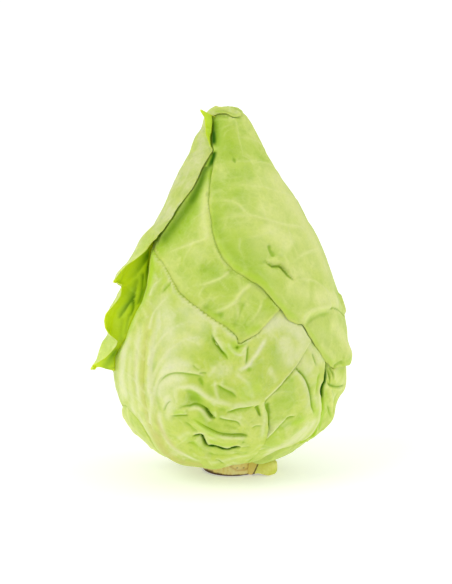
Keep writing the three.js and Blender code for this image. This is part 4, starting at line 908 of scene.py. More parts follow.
def lifted(n, f, th, s):
    """How far the free margin stands off what lies below it, mm."""
    e = lambda w: np.exp(-np.maximum(f, 0) / w)
    wob = 0.5 + 0.5 * sample(LIFT_NOISE, th, s)
    if n == A:
        right = sm(th, -10, 5)
        return (0.02 + 0.35 * wob ** 2 * right) * e(2.0) * sm(s, 25, 40) + 0.8 * e(2.5) * sm(s, 34, 40) * (1 - sm(s, 60, 66)) * sm(th, 10, 16)
    if n == D:
        return (0.13 + 0.14 * wob ** 2) * e(2.4)
    if n == Cc:
        lobe = np.exp(-(((th - 66) / 16) ** 2 + ((s - 88) / 9) ** 2))
        return (0.02 + (0.5 - 0.38 * (1 - sm(th, -8, 6)) * (1 - sm(s, 198, 208))) * wob ** 2) * e(2.6) * sm(s, 15, 50) + 1.4 * lobe * e(5)
    if n == E:
        right = sm(th, 30, 44) * sm(s, 34, 40) * (1 - sm(s, 88, 110))
        return 0.2 * e(1.5) + (0.45 + 0.3 * wob) * e(2.0) * right
    if n == G:
        rag = sm(th, 62, 76) * (1 - sm(th, 92, 102)) * (1 - sm(s, 60, 74))
        low = sm(th, 50, 58) * (1 - sm(th, 66, 74)) * (1 - sm(s, 46, 52))
        return 0.3 * e(1.5) + (2.2 + 1.6 * wob) * e(3.5) * rag + 1.9 * e(1.4) * low
    if n == "left_lower_leaf":
        return 0.6 * e(2.0)
    if n == B:
        upper = sm(s, 150, 168) * sm(th, -118, -80) * (1 - sm(s, 219, 227))
        rim = sm(s, 241, 245) * sm(th, -50, -42) * (1 - sm(th, 28, 44))
        return 0.22 * e(2.0) + (0.2 + 0.4 * wob) * e(4.0) * upper + 1.1 * wob * e(4.5) * (1 - sm(s, 84, 96)) * (1 - sm(th, -98, -88)) * sm(s, 8, 24) + (0.35 + 0.55 * wob) * e(1.8) * rim
    if n == "back_lower_leaf":
        return (0.3 + 0.9 * wob * sm(s, 8, 24) * (1 - sm(s, 46, 60)) * (1 - sm(th, -84, -76)) * sm(th, -130, -118)) * e(3.0)
    return 0.4 * e(2.0)


LIFT_NOISE = np.clip(noise(5.0, 99), -1.5, 1.5)

def on_ray(x, y, depth):
    """The point seen at drawing position x, y whose Y is depth, mm."""
    d = FWD * DIST + RIGHT * ((x - 226) * UNIT) - UPV * ((y - 292) * UNIT)
    return EYE + d * ((depth - EYE[1]) / d[1])


# The flared free margin of the left upper leaf, row by row (row height; margin x, y, depth; a
# point part-way out x, depth; how the sheet runs there and at the margin, as x, y directions)
FLARE = np.array([
    (54, 116, 368, -10, 116.5, -6.8, -.6, -.8, -.6, -.8), (57, 110, 369.5, -14, 113, -7.8, -.7, -.7, -.7, -.7), (60, 98.5, 371.5, -16, 106, -9.8, -.8, -.6, -.8, -.6),
    (62.5, 88.2, 369.5, -18, 98, -11.8, -.8, -.6, -.8, -.6), (65, 92.5, 365, -23, 92.5, -14.8, -.3, -.95, .5, -.8), (69, 103.6, 358.6, -27, 96.5, -17.8, -.1, -1, .75, -.6),
    (74, 112, 351, -29, 98.5, -19.8, 0, -1, .85, -.5), (78, 117, 345.5, -29, 100.5, -19.8, 0, -1, .85, -.5), (81, 118.5, 340.5, -29, 102.5, -19.8, 0, -1, .8, -.6),
    (84, 109.5, 334.5, -23, 107, -16, -.4, -.9, .2, -.95), (87, 105.3, 328, -20, 111, -14, -.75, -.65, -.6, -.8), (90, 104.6, 321, -19, 112, -13, -.8, -.6, -.7, -.7),
    (94, 106.5, 314, -20, 112.5, -14, -.8, -.6, -.3, -.9), (98, 112.5, 307, -22, 114.0, -15, -.6, -.8, .4, -.9), (102, 117.3, 301, -23, 118.5, -16, -.5, -.85, .5, -.85),
    (105, 120.2, 296, -23, 121.5, -16, -.5, -.85, .3, -.9), (109, 120.7, 288.5, -23, 123, -15, -.6, -.8, -.1, -1), (111.5, 120.5, 284.3, -23, 123, -15, -.6, -.8, -.3, -.9),
    (113.2, 111.6, 282.6, -27, 119, -17.8, -.7, -.7, -.4, -.9), (116, 116.2, 277.5, -28, 117, -19.8, -.3, -.95, .6, -.8), (119, 119.3, 272.7, -29, 119.6, -19.8, -.1, -1, .7, -.7),
    (123, 126, 265.8, -29, 123, -19.8, 0, -1, .8, -.6), (128, 135, 259.5, -29, 128, -19.8, .05, -1, .8, -.6), (133, 144.5, 251.5, -29, 133, -19.8, .1, -1, .85, -.5),
    (138, 151.5, 243.8, -29, 137.2, -18.8, .2, -1, .85, -.5), (146, 162, 230.6, -28, 143.2, -18.8, .3, -.95, .85, -.5), (153, 169.5, 219.5, -27, 150.5, -17.5, .35, -.93, .85, -.5)], float)
_M3 = np.array([on_ray(r[1], r[2], r[3]) for r in FLARE])
_L3 = np.array([on_ray(r[4], r[2], r[5]) for r in FLARE])
ROOT_TH = -80.0     # where the free part leaves the head, high up; lower down it leaves a little nearer the front


def hermite(u, a, b, ta, tb):
    L = np.linalg.norm(b - a, axis=1, keepdims=True)
    u2, u3 = u * u, u ** 3
    return ((2 * u3 - 3 * u2 + 1) * a + (u3 - 2 * u2 + u) * ta * L + (3 * u2 - 2 * u3) * b + (u3 - u2) * tb * L)


def flared(th, s, pos):
    """Moves the free margin of the left upper leaf out; also gives how far each point belongs to the free part, 0..1.
    """
    z = prof(s)[1]
    shade = np.zeros(len(th))
    w = (1 - sm(s, 162, 180)) * sm(s, 60, 70) * (th >= ROOT_TH) * (th < -30)
    on = w > 0
    out = pos.copy()
    t, ss, zz = th[on], s[on], z[on]
    far = [r for r in B_FRONT[14:27] if r[1] >= 85]
    q = np.clip((t - ROOT_TH) / (np.interp(ss, [r[1] for r in far], [r[0] for r in far]) - ROOT_TH), 0, 1.04)
    low = 1 - sm(zz, 112, 132)
    root = ROOT_TH + 4.0 * low * sm(zz, 58, 66)
    on_head = (sample(TOPS[A], root, ss) + 0.15) * low + sample(TOPS[B], root, ss) * (1 - low)
    K3 = skin(root, ss) + skin_normal(root, ss) * on_head[:, None]
    row = lambda T: np.stack([np.interp(zz, FLARE[:, 0], T[:, i]) for i in range(T.shape[1])], 1)
    M, L_ = row(_M3), row(_L3)
    L_[:, 2] = 0.55 * M[:, 2] + 0.45 * zz
    D2 = row(FLARE[:, 6:10])
    TL = np.column_stack([D2[:, :2], np.zeros(len(t))])
    TM = np.column_stack([D2[:, 2:], np.zeros(len(t))])
    TL /= np.linalg.norm(TL, axis=1, keepdims=True)
    TM /= np.linalg.norm(TM, axis=1, keepdims=True)
    TK = np.stack([-.45 - .48 * low, -.89 + .50 * low, 0 * low], 1)
    l1, l2 = np.linalg.norm(L_ - K3, axis=1), np.linalg.norm(M - L_, axis=1) * 1.15
    qs = np.clip(l1 / (l1 + l2), 0.3, 0.8)
    first = q < qs
    u1, u2 = np.clip(q / qs, 0, 1)[:, None], np.clip((q - qs) / (1 - qs), 0, 1.1)[:, None]
    C1, C2 = hermite(u1, K3, L_, TK, TL), hermite(u2, L_, M, TL, TM)
    C = np.where(first[:, None], C1, C2)
    e = 0.02
    up = np.where(first[:, None], hermite(np.clip(u1 + e, 0, 1), K3, L_, TK, TL) - hermite(np.clip(u1 - e, 0, 1), K3, L_, TK, TL),
                  hermite(u2 + e, L_, M, TL, TM) - hermite(u2 - e, L_, M, TL, TM))
    nrm = np.cross(up, np.array([0, 0, 1.0]))
    nrm /= np.maximum(np.linalg.norm(nrm, axis=1, keepdims=True), 1e-6)
    # pleats that fan down from where the margin leaves the head
    down = 139 - zz
    ang = np.arctan2(np.maximum(down, 0.5), q * (l1 + l2) + 2.5)
    env = sm(down, 6, 26) * sm(zz, 78, 90) * sm(q, 0.02, 0.25) * (1 - 0.6 * sm(q, 0.7, 1.0))
    pleat = np.sin(ang * 13.0 + 0.6) + 0.5 * np.sin(ang * 29.0 + 2.0)
    C = C + nrm * (1.15 * pleat * env + 0.45 * sample(LIFT_NOISE, t, ss) * sm(q, 0.35, 0.9))[:, None]
    # blended in by how far each point belongs to the free part
    ww = w[on][:, None]
    out[on] = pos[on] * (1 - ww) + C * ww
    shade[on] = w[on]
    return out, shade


# Painted shade in the folds of its inner face, dark and green, in front elevation: line, strength at each end, reach at
# each end on the two sides of the line (upper-left side first)
FAN_SHADOW = [((151.8, 245, 150.8, 251, 147, 258, 143.5, 263.5, 139, 270, 135.5, 276), 1.0, 0.35, (4.4, 2.6), (0.7, 0.9)),
            ((150.8, 254, 148.2, 259, 147, 265, 145.8, 271, 144.6, 278), 1.0, 0.3, (0.7, 0.8), (3.2, 2.6)),
            ((142.9, 275, 142.6, 283, 142.0, 290, 140.4, 297, 138, 303), 0.85, 0.6, (2.8, 2.0), (0.6, 0.8)),
            ((137.6, 282, 135.6, 289, 134.0, 297), 0.55, 0.7, (3.6, 3.0), (0.8, 0.8)),
            ((134.4, 297.5, 131.5, 301.8, 128, 306, 124.5, 311, 120.5, 317), 1.0, 0.6, (3.6, 1.8), (0.6, 0.6)),
            ((133.9, 300.5, 133.6, 305, 133.0, 309.5, 131.3, 314.5), 1.0, 0.8, (3.0, 2.4), (0.7, 0.8)),
            ((129.5, 315, 128.2, 321, 127.3, 327, 126.3, 333), 0.6, 0.3, (2.2, 1.8), (0.8, 0.8)),
            ((116, 350, 113, 354, 109.5, 357), 0.35, 0.2, (1.2, 1.0), (3.5, 3.0)),
            ((103.5, 369.6, 108, 368.8, 113.6, 368), 0.5, 0.6, (0.9, 0.9), (0.9, 0.9))]
FAN_SHADE = [((150, 262, 148, 272, 146.5, 282, 144, 292, 141, 302), 0.8, 0.6, (3.5, 2.4), (3.5, 2.4)),
             ((145, 254, 138, 265, 131, 276), 0.55, 0.2, (5.5, 4.0), (4.0, 3.0)),
             ((131, 294, 127, 302, 120, 313), 0.5, 0.3, (4.0, 3.0), (4.0, 3.0)),
             ((122, 320, 121, 330, 121.5, 341), 0.35, 0.3, (2.4, 2.0), (2.4, 2.0)),
             ((114, 352, 110, 360, 105, 367), 0.6, 0.6, (3.0, 4.0), (5.0, 4.0))]


def painted(xy, strokes):
    """Strength of the strokes at front-elevation positions."""
    out = np.zeros(len(xy))
    for flat, a0, a1, left, right in strokes:
        q = dense([(flat[i], flat[i + 1]) for i in range(0, len(flat), 2)], 6)
        best, par, sgn = np.full(len(xy), 1e9), np.zeros(len(xy)), np.zeros(len(xy))
        for i in range(len(q) - 1):
            e = q[i + 1] - q[i]
            u = np.clip(((xy - q[i]) @ e) / (e @ e + 1e-9), 0, 1)
            r = xy - q[i] - u[:, None] * e
            d = (r ** 2).sum(1)
            sel = d < best
            best, par = np.where(sel, d, best), np.where(sel, (i + u) / (len(q) - 1), par)
            sgn = np.where(sel, e[0] * r[:, 1] - e[1] * r[:, 0], sgn)
        k = sm(sgn, -0.2, 0.2)
        reach = (left[0] + (left[1] - left[0]) * par) * k + (right[0] + (right[1] - right[0]) * par) * (1 - k)
        out = np.maximum(out, (a0 + (a1 - a0) * par) * np.exp(-best / reach ** 2))
    return out


def folded(th, s, pos):
    """The narrow strip near the tip where the margin is turned back on itself."""
    out = pos.copy()
    s0, s1 = FOLD[0, 1], FOLD[-1, 1]
    tf = np.interp(s, FOLD[:, 1], FOLD[:, 0])
    wide = np.interp(s, FOLD[:, 1], FOLD_W) + 0.8
    on = (s > s0) & (s < s1 + 0.3) & (th > tf) & ((th - tf) * prof(s)[0] * math.pi / 180 < wide)
    t, ss = tf[on], s[on]
    k = prof(ss)[0] * math.pi / 180
    d = (th[on] - t) * k
    n = skin_normal(t, ss)
    base = skin(t, ss) + n * (sample(TOPS[B], t, ss) + 0.7 * sm(s1 - ss, 3, 9) + 0.5)[:, None]
    tan = skin(t + 0.5, ss) - skin(t - 0.5, ss)
    tan /= np.linalg.norm(tan, axis=1, keepdims=True)
    rho, phm = 0.55, math.radians(124)
    ph = np.minimum(d / rho, phm)[:, None]
    rest = np.maximum(d - rho * phm, 0)[:, None]
    p = base + tan * rho * np.sin(ph) + n * rho * (1 - np.cos(ph)) + (tan * math.cos(phm) + n * math.sin(phm)) * rest
    p[:, 2] += 0.04 * np.maximum(d - 0.8, 0) * sm(ss, s1 - 10, s1 - 0.5)
    wv = 0.35 * np.sin(ss * 1.15 + 0.7) * np.minimum(d / 2, 1)
    p[:, 1] += wv
    # unfolded where the strip has no width left
    w = sm(ss, s0, s0 + 2.5)[:, None]
    out[on] = pos[on] * (1 - w) + p * w
    return out


# =====================================================================================
# Meshes
# =====================================================================================
def new_mesh(name, verts_mm, faces, attrs=None):
    me = bpy.data.meshes.new(name)
    quads = faces.get("quads", np.zeros((0, 4), int))
    tris = faces.get("tris", np.zeros((0, 3), int))
    me.vertices.add(len(verts_mm))
    me.vertices.foreach_set("co", (np.asarray(verts_mm) * 0.001).astype(np.float32).ravel())
    loops = np.concatenate([quads.ravel(), tris.ravel()]).astype(np.int32)
    me.loops.add(len(loops))
    me.loops.foreach_set("vertex_index", loops)
    n = len(quads) + len(tris)
    me.polygons.add(n)
    start = np.concatenate([np.arange(len(quads)) * 4, len(quads) * 4 + np.arange(len(tris)) * 3]).astype(np.int32)
    me.polygons.foreach_set("loop_start", start)
    me.polygons.foreach_set("use_smooth", np.ones(n, bool))
    me.update(calc_edges=True)
    me.validate()
    for k, v in (attrs or {}).items():
        at = me.attributes.new(k, "FLOAT", "POINT")
        at.data.foreach_set("value", np.asarray(v, np.float32))
    ob = bpy.data.objects.new(name, me)
    bpy.context.scene.collection.objects.link(ob)
    return ob


def vertex_normals(v, quads, tris):
    n = np.zeros_like(v)
    if len(quads):
        a, b, c, d = (v[quads[:, i]] for i in range(4))
        fn = np.cross(c - a, d - b)
        for i in range(4):
            for k in range(3):
                n[:, k] += np.bincount(quads[:, i], fn[:, k], len(v))
    if len(tris):
        a, b, c = (v[tris[:, i]] for i in range(3))
        fn = np.cross(b - a, c - a)
        for i in range(3):
            for k in range(3):
                n[:, k] += np.bincount(tris[:, i], fn[:, k], len(v))
    return n / np.maximum(np.linalg.norm(n, axis=1, keepdims=True), 1e-12)


def columns(front, back):
    """Column angles: pitch front in degrees within 108 of the front, pitch back elsewhere."""
    a = np.arange(-108, 108, front)
    n = int(round(144 / back))
    b = 108 + 144 * np.arange(n) / n
    t = np.concatenate([a, b])
    return np.sort((t + 180) % 360 - 180)


def clip_sheet(T, S, f, pole=False):
    nr, nc = f.shape
    f = np.where(np.abs(f) < 0.03, np.where(f >= 0, 0.03, -0.03), f)
    ins = f > 0
    vid = -np.ones((nr, nc), int)
    vid[ins] = np.arange(ins.sum())
    rr, cc = np.nonzero(ins)
    vt, vs = list(T[cc]), list(S[rr])
    Tn = np.append(T, T[0] + 360)
    c1 = (np.arange(nc) + 1) % nc
    cnt = (ins[:-1].astype(int) + ins[1:] + ins[:-1][:, c1] + ins[1:][:, c1])
    r, c = np.nonzero(cnt == 4)
    quads = np.stack([vid[r, c], vid[r, c1[c]], vid[r + 1, c1[c]], vid[r + 1, c]], 1)
    tris = []
    cache = {}
    for r, c in zip(*np.nonzero((cnt > 0) & (cnt < 4))):
        cn = c1[c]
        pts = [(r, c, T[c]), (r, cn, Tn[c + 1]), (r + 1, cn, Tn[c + 1]), (r + 1, c, T[c])]
        out = []
        for i in range(4):
            a, b = pts[i], pts[(i + 1) % 4]
            if ins[a[0], a[1]]:
                out.append(vid[a[0], a[1]])
            if ins[a[0], a[1]] != ins[b[0], b[1]]:
                key = (a[:2], b[:2]) if a[:2] < b[:2] else (b[:2], a[:2])
                if key not in cache:
                    fa, fb = f[a[0], a[1]], f[b[0], b[1]]
                    u = min(max(fa / (fa - fb), 0.06), 0.94)
                    cache[key] = len(vt)
                    vt.append(a[2] + (b[2] - a[2]) * u)
                    vs.append(S[a[0]] + (S[b[0]] - S[a[0]]) * u)
                out.append(cache[key])
        for i in range(1, len(out) - 1):
            tris.append((out[0], out[i], out[i + 1]))
    if pole and ins[-1].all():
        p = len(vt)
        vt.append(0.0)
        vs.append(S_MAX)
        tris += [(vid[nr - 1, c], vid[nr - 1, c1[c]], p) for c in range(nc)]
    return np.array(vt), np.array(vs), quads, np.array(tris, int).reshape(-1, 3)


def rim_edges(quads, tris, n):
    e = [quads[:, [i, (i + 1) % 4]] for i in range(4)] + [tris[:, [i, (i + 1) % 3]] for i in range(3)]
    e = np.concatenate(e)
    key, rev = e[:, 0] * n + e[:, 1], e[:, 1] * n + e[:, 0]
    return e[~np.isin(key, rev)]


def keep_main(quads, tris, nv):
    """Faces of the largest connected sheet only."""
    lab = np.arange(nv)
    e = np.concatenate([quads[:, [0, 1]], quads[:, [1, 2]], quads[:, [2, 3]], tris[:, [0, 1]], tris[:, [1, 2]]])
    while True:
        m = np.minimum(lab[e[:, 0]], lab[e[:, 1]])
        new = lab.copy()
        np.minimum.at(new, e[:, 0], m)
        np.minimum.at(new, e[:, 1], m)
        new = new[new]
        if (new == lab).all():
            break
        lab = new
    used = np.concatenate([quads.ravel(), tris.ravel()])
    big = np.bincount(lab[used]).argmax()
    return quads[lab[quads[:, 0]] == big], tris[lab[tris[:, 0]] == big]


def compact(vt, vs, quads, tris):
    used = np.zeros(len(vt), bool)
    used[quads.ravel()] = True
    used[tris.ravel()] = True
    new = np.cumsum(used) - 1
    return vt[used], vs[used], new[quads], new[tris]


def build_leaf(n):
    leaf = LEAVES[n]
    pf, pr = leaf["pitch"]
    T = columns(pf, 1.3 if pf < 1 else 1.6)
    if "fine" in leaf:
        t0, t1, q0, q1, pf2, pr2 = leaf["fine"]
        T = np.unique(np.round(np.concatenate([T[(T < t0 - pf) | (T > t1 + pf)], np.arange(t0, t1, pf2)]), 4))
        rows = np.concatenate([np.arange(1.2, q0, pr), np.arange(q0, q1, pr2), np.arange(q1, S_MAX - 0.9, pr)])
    else:
        rows = np.arange(1.2, S_MAX - 0.9, pr)
    if n == B:
        rows = np.concatenate([rows[rows < 219], np.arange(219, S_MAX - 0.8, 0.55)])
    rows = np.append(rows, S_MAX - 0.6)
    f = polygon_distance(leaf["poly"], T, rows)
    if n == B:
        f = np.maximum(f, (rows[:, None] - 252.5) + 0 * T[None])
    vt, vs, quads, tris = clip_sheet(T, rows, f, pole=(n == B))
    quads, tris = keep_main(quads, tris, len(vt))
    vt, vs, quads, tris = compact(vt, vs, quads, tris)
    vt = (vt + 180) % 360 - 180
    fv = sample(MASK[n], vt, np.minimum(vs, S_MAX - 0.7))
    # distance to the margin, exact at the rim
    e = rim_edges(quads, tris, len(vt))
    on_rim = np.zeros(len(vt), bool)
    on_rim[e.ravel()] = True
    fv = np.where(on_rim, 0, np.maximum(fv, 0.3))
    h = sample(TOPS[n], vt, vs) + lifted(n, fv, vt, vs)
    thin = (0.42 if n in (D, Cc) else 0.30) * np.exp(-np.maximum(fv, 0) / 0.9)
    press = {D: 0 * vt, Cc: 0.30 * (1 - sm(vt, -6, 8)) * (1 - sm(vs, 204, 214)) + 0.12, A: 0.30 * sm(vt, -20, 0) * sm(vs, 60, 80), B: 0.25 * sm(vs, 160, 172) * (vt < 0)}.get(n, 0 * vt)
    h = h - thin - press * np.exp(-np.maximum(fv, 0) / 0.4)
    pos = skin(vt, vs) + skin_normal(vt, vs) * h[:, None]
    shade = shade_d = np.zeros(len(vt))
    if n == B:
        th = np.where(vt > 150, vt - 360, vt)
        pos, free = flared(th, vs, pos)
        pos = folded(th, vs, pos)
        xy = project(pos)
        free = free * (th < -30)
        fan_shadow = painted(xy, FAN_SHADOW)
        strip = (vs > FOLD[0, 1]) & (vs < FOLD[-1, 1] + 0.3) & (vt > np.interp(vs, FOLD[:, 1], FOLD[:, 0])) & (vt < np.interp(vs, FOLD[:, 1], FOLD[:, 0] + FOLD_W / 0.19))
        # painted shade on the inner face of the flared part, green and dark in its folds, and lighter shade on the
        # turned-back strip
        shade = free * np.clip(0.75 * painted(xy, FAN_SHADE) + 0.8 * fan_shadow, 0, 1) + 0.3 * strip
        shade_d = free * np.clip(fan_shadow - 0.25, 0, 1) / 0.75
    nrm = vertex_normals(pos, quads, tris)
    t = THICK - thin
    inner = pos - nrm * t[:, None]
    N = len(pos)
    allq = np.concatenate([quads, quads[:, ::-1] + N, np.stack([e[:, 1], e[:, 0], e[:, 0] + N, e[:, 1] + N], 1)])
    allt = np.concatenate([tris, tris[:, ::-1] + N])
    two = lambda a: np.concatenate([a, a])
    # painted green shade on the underside and cut edge near each margin (not on the flared part's open inner face)
    rim = (0.45 + 0.3 * sm(vt, -6, 8) * (n == Cc) if n in (D, Cc) else 0.75) * np.exp(-np.maximum(fv, 0) / 1.8) * (1.0 if n != B else (1 - sm(vs, 60, 70) * (vt > -84) * (1 - sm(vs, 154, 162))) * (vs < 226))
    at = {"vein": two(np.clip(sample(VEIN[n], vt, vs), 0, 1)),
          "pale": two(np.clip(sample(PALE[n], vt, vs), 0, 1)),
          "deep": np.concatenate([np.clip(sample(DEEP[n], vt, vs), 0, 1), np.maximum(shade, rim)]),
          "dark": np.concatenate([np.clip(sample(DARK[n], vt, vs), 0, 1), 0.30 * shade_d]),
          "warm": np.concatenate([np.clip(sample(WARM[n], vt, vs), 0, 1), np.zeros(N)]),
          "backlit_glow": np.concatenate([np.clip(sample(BACKLIT_GLOW[n], vt, vs), 0, 1), np.zeros(N)]),
          "cav": np.concatenate([sample(CAV[n], vt, vs), np.zeros(N)]),
          "edge": two(np.exp(-fv / 1.3)),
          "inner": np.concatenate([np.zeros(N), np.ones(N)]),
          "run": two(vs / S_MAX)}
    return new_mesh(n + "_look", np.vstack([pos, inner]), {"quads": allq, "tris": allt}, at)


def build_heart():
    T = columns(2.4, 3.2)
    rows = np.append(np.arange(0.6, S_MAX - 1.0, 2.5), S_MAX - 0.8)
    nr, nc = len(rows), len(T)
    tt, ss = np.meshgrid(T, rows)
    h = sample(H_HEART, tt.ravel(), ss.ravel())
    pos = skin(tt.ravel(), ss.ravel()) + skin_normal(tt.ravel(), ss.ravel()) * h[:, None]
    ids = np.arange(nr * nc).reshape(nr, nc)
    nx = np.roll(ids, -1, axis=1)
    quads = np.stack([ids[:-1], nx[:-1], nx[1:], ids[1:]], -1).reshape(-1, 4)
    n = len(pos)
    pos = np.vstack([pos, [pos[ids[-1]].mean(0) + [0, 0, 0.3]], [0, 0, 12.4]])
    tris = np.concatenate([np.stack([ids[-1], nx[-1], np.full(nc, n)], 1), np.stack([nx[0], ids[0], np.full(nc, n + 1)], 1)])
    m = n + 2
    z = np.zeros(m)
    ss1 = np.append(ss.ravel(), [S_MAX, 0])
    return new_mesh("heart_look", pos, {"quads": quads, "tris": tris},
                    {"vein": z, "pale": z + 0.25, "deep": z + 0.3, "dark": z, "warm": z, "backlit_glow": z, "cav": z, "edge": z, "inner": z, "run": ss1 / S_MAX})


# =====================================================================================
# Stalk and stub
# =====================================================================================
def ring_solid(name, rings, attrs_fn):
    """Closed solid from rings of points, the first and last ring closed by fans."""
    nr, nc = rings.shape[:2]
    pos = rings.reshape(-1, 3)
    ids = np.arange(nr * nc).reshape(nr, nc)
    nx = np.roll(ids, -1, axis=1)
    quads = np.stack([ids[:-1], nx[:-1], nx[1:], ids[1:]], -1).reshape(-1, 4)
    n = len(pos)
    pos = np.vstack([pos, rings[0].mean(0), rings[-1].mean(0)])
    tris = np.concatenate([np.stack([nx[0], ids[0], np.full(nc, n)], 1), np.stack([ids[-1], nx[-1], np.full(nc, n + 1)], 1)])
    return new_mesh(name, pos, {"quads": quads, "tris": tris}, attrs_fn(pos))


def wave(a, seed, n=6, lo=2, hi=9):
    r = np.random.default_rng(seed)
    return sum(r.uniform(-1, 1) / (k ** 0.7) * np.sin(k * a + r.uniform(0, 6.28)) for k in range(lo, lo + n)) / 2


def value_noise(p, scale, seed):
    """Smooth 3-D noise, -1..1, features about scale mm."""
    r = np.random.default_rng(seed)
    G = r.uniform(-1, 1, (17, 17, 17))
    q = p / scale
    i = np.floor(q).astype(int)
    f = q - i
    f = f * f * (3 - 2 * f)
    i %= 16
    out = 0
    for dx in (0, 1):
        for dy in (0, 1):
            for dz in (0, 1):
                w = (f[:, 0] if dx else 1 - f[:, 0]) * (f[:, 1] if dy else 1 - f[:, 1]) * (f[:, 2] if dz else 1 - f[:, 2])
                out = out + w * G[i[:, 0] + dx, i[:, 1] + dy, i[:, 2] + dz]
    return out


def near_path(p2, path):
    """Distance of 2-D points to a polyline."""
    best = np.full(len(p2), 1e9)
    for a, b in zip(np.array(path[:-1], float), np.array(path[1:], float)):
        e = b - a
        u = np.clip(((p2 - a) @ e) / (e @ e + 1e-9), 0, 1)
        best = np.minimum(best, np.linalg.norm(p2 - a - u[:, None] * e, axis=1))
    return best


def build_stalk():
    nc = 168
    a = np.linspace(0, 2 * math.pi, nc, endpoint=False)
    R = 16.9 * (1 + 0.022 * np.cos(2 * a + 0.6) + 0.010 * wave(a, 3) + 0.004 * wave(a, 5, 8, 11))
    levels = ([(k, 0.0) for k in (0.10, 0.22, 0.34, 0.46, 0.57, 0.67, 0.76, 0.84, 0.90)] +
              [(0.935, 0.10), (0.958, 0.35), (0.975, 0.75), (0.988, 1.2), (0.996, 1.7), (1.0, 2.3), (1.002, 3.0), (1.003, 3.7), (1.003, 4.4), (1.002, 5.1),
               (1.0, 5.8), (0.998, 6.5), (0.995, 7.2), (0.99, 7.9), (0.985, 8.6), (0.975, 9.4), (0.955, 10.2), (0.92, 11.0), (0.85, 11.6), (0.6, 11.8), (0.3, 11.85)])
    rings = []
    for k, z in levels:
        side = sm(z, 0.3, 2.0)
        r = R * k * (1 + 0.006 * np.sin(13 * a + 1.3 * np.sin(3 * a)) * side)
        nib = 0.45 * np.clip(wave(a, 11, 10, 5), 0, 1) * (1 - sm(z, 0.2, 2.2)) * sm(k, 0.8, 0.93)
        p = np.stack([(r - nib) * np.cos(a), (r - nib) * np.sin(a) * (1.01 + 0.06 * (np.sin(a) < 0)), np.full(nc, z)], 1)
        if z > 0.3:
            nz = value_noise(p * [1, 1, 0.6], 4.0, 21) * 0.22 + value_noise(p, 1.5, 22) * 0.08
            p[:, :2] *= (1 + nz / 17)[:, None]
        rings.append(p)
    rings = np.array(rings)

    def attrs(p):
        ang = np.arctan2(p[:, 0], -p[:, 1])          # 0 at the front, + to the right
        arc = np.stack([ang * 16.9, p[:, 2]], 1)
        n1 = value_noise(p, 3.2, 31)
        rad = np.hypot(p[:, 0], p[:, 1])
        foot = 1.0 + 0.4 * n1 + 2.3 * np.exp(-((ang + 0.95) / 0.55) ** 2) * (0.8 + 0.5 * n1)
        edge = np.exp(-((p[:, 2] - 0.25) / foot) ** 2) * sm(rad, 14.0, 15.6)
        scar = near_path(arc, [(-0.6, 6.3), (3.2, 8.6), (8.5, 9.6), (12.5, 9.0), (13.5, 6.2), (9.0, 4.0), (3.5, 3.8), (-0.6, 6.3)])
        spots = np.zeros(len(p))
        for x, z, r in ((3.6, 5.4, 0.8), (7.4, 5.0, 0.85), (10.6, 6.6, 0.75), (-1.5, 3.4, 0.5), (-9, 5.0, 0.4), (-20, 6.0, 0.6), (26, 5.0, 0.6), (38, 7.0, 0.5), (-36, 4.2, 0.6)):
            spots = np.maximum(spots, np.exp(-(((arc[:, 0] - x) ** 2 + (arc[:, 1] - z) ** 2) / r ** 2)))
        left = np.exp(-((ang + 1.25) / 0.35) ** 2) * sm(p[:, 2], 1, 5) * 0.6
        return {"brown": np.clip(edge + 0.75 * spots + left * (0.6 + 0.5 * n1), 0, 1),
                "scar": np.exp(-(scar / 0.55) ** 2) * sm(p[:, 2], 1.5, 3),
                "rad": rad / 17.0}
    return ring_solid("cut_stalk_look", rings, attrs)


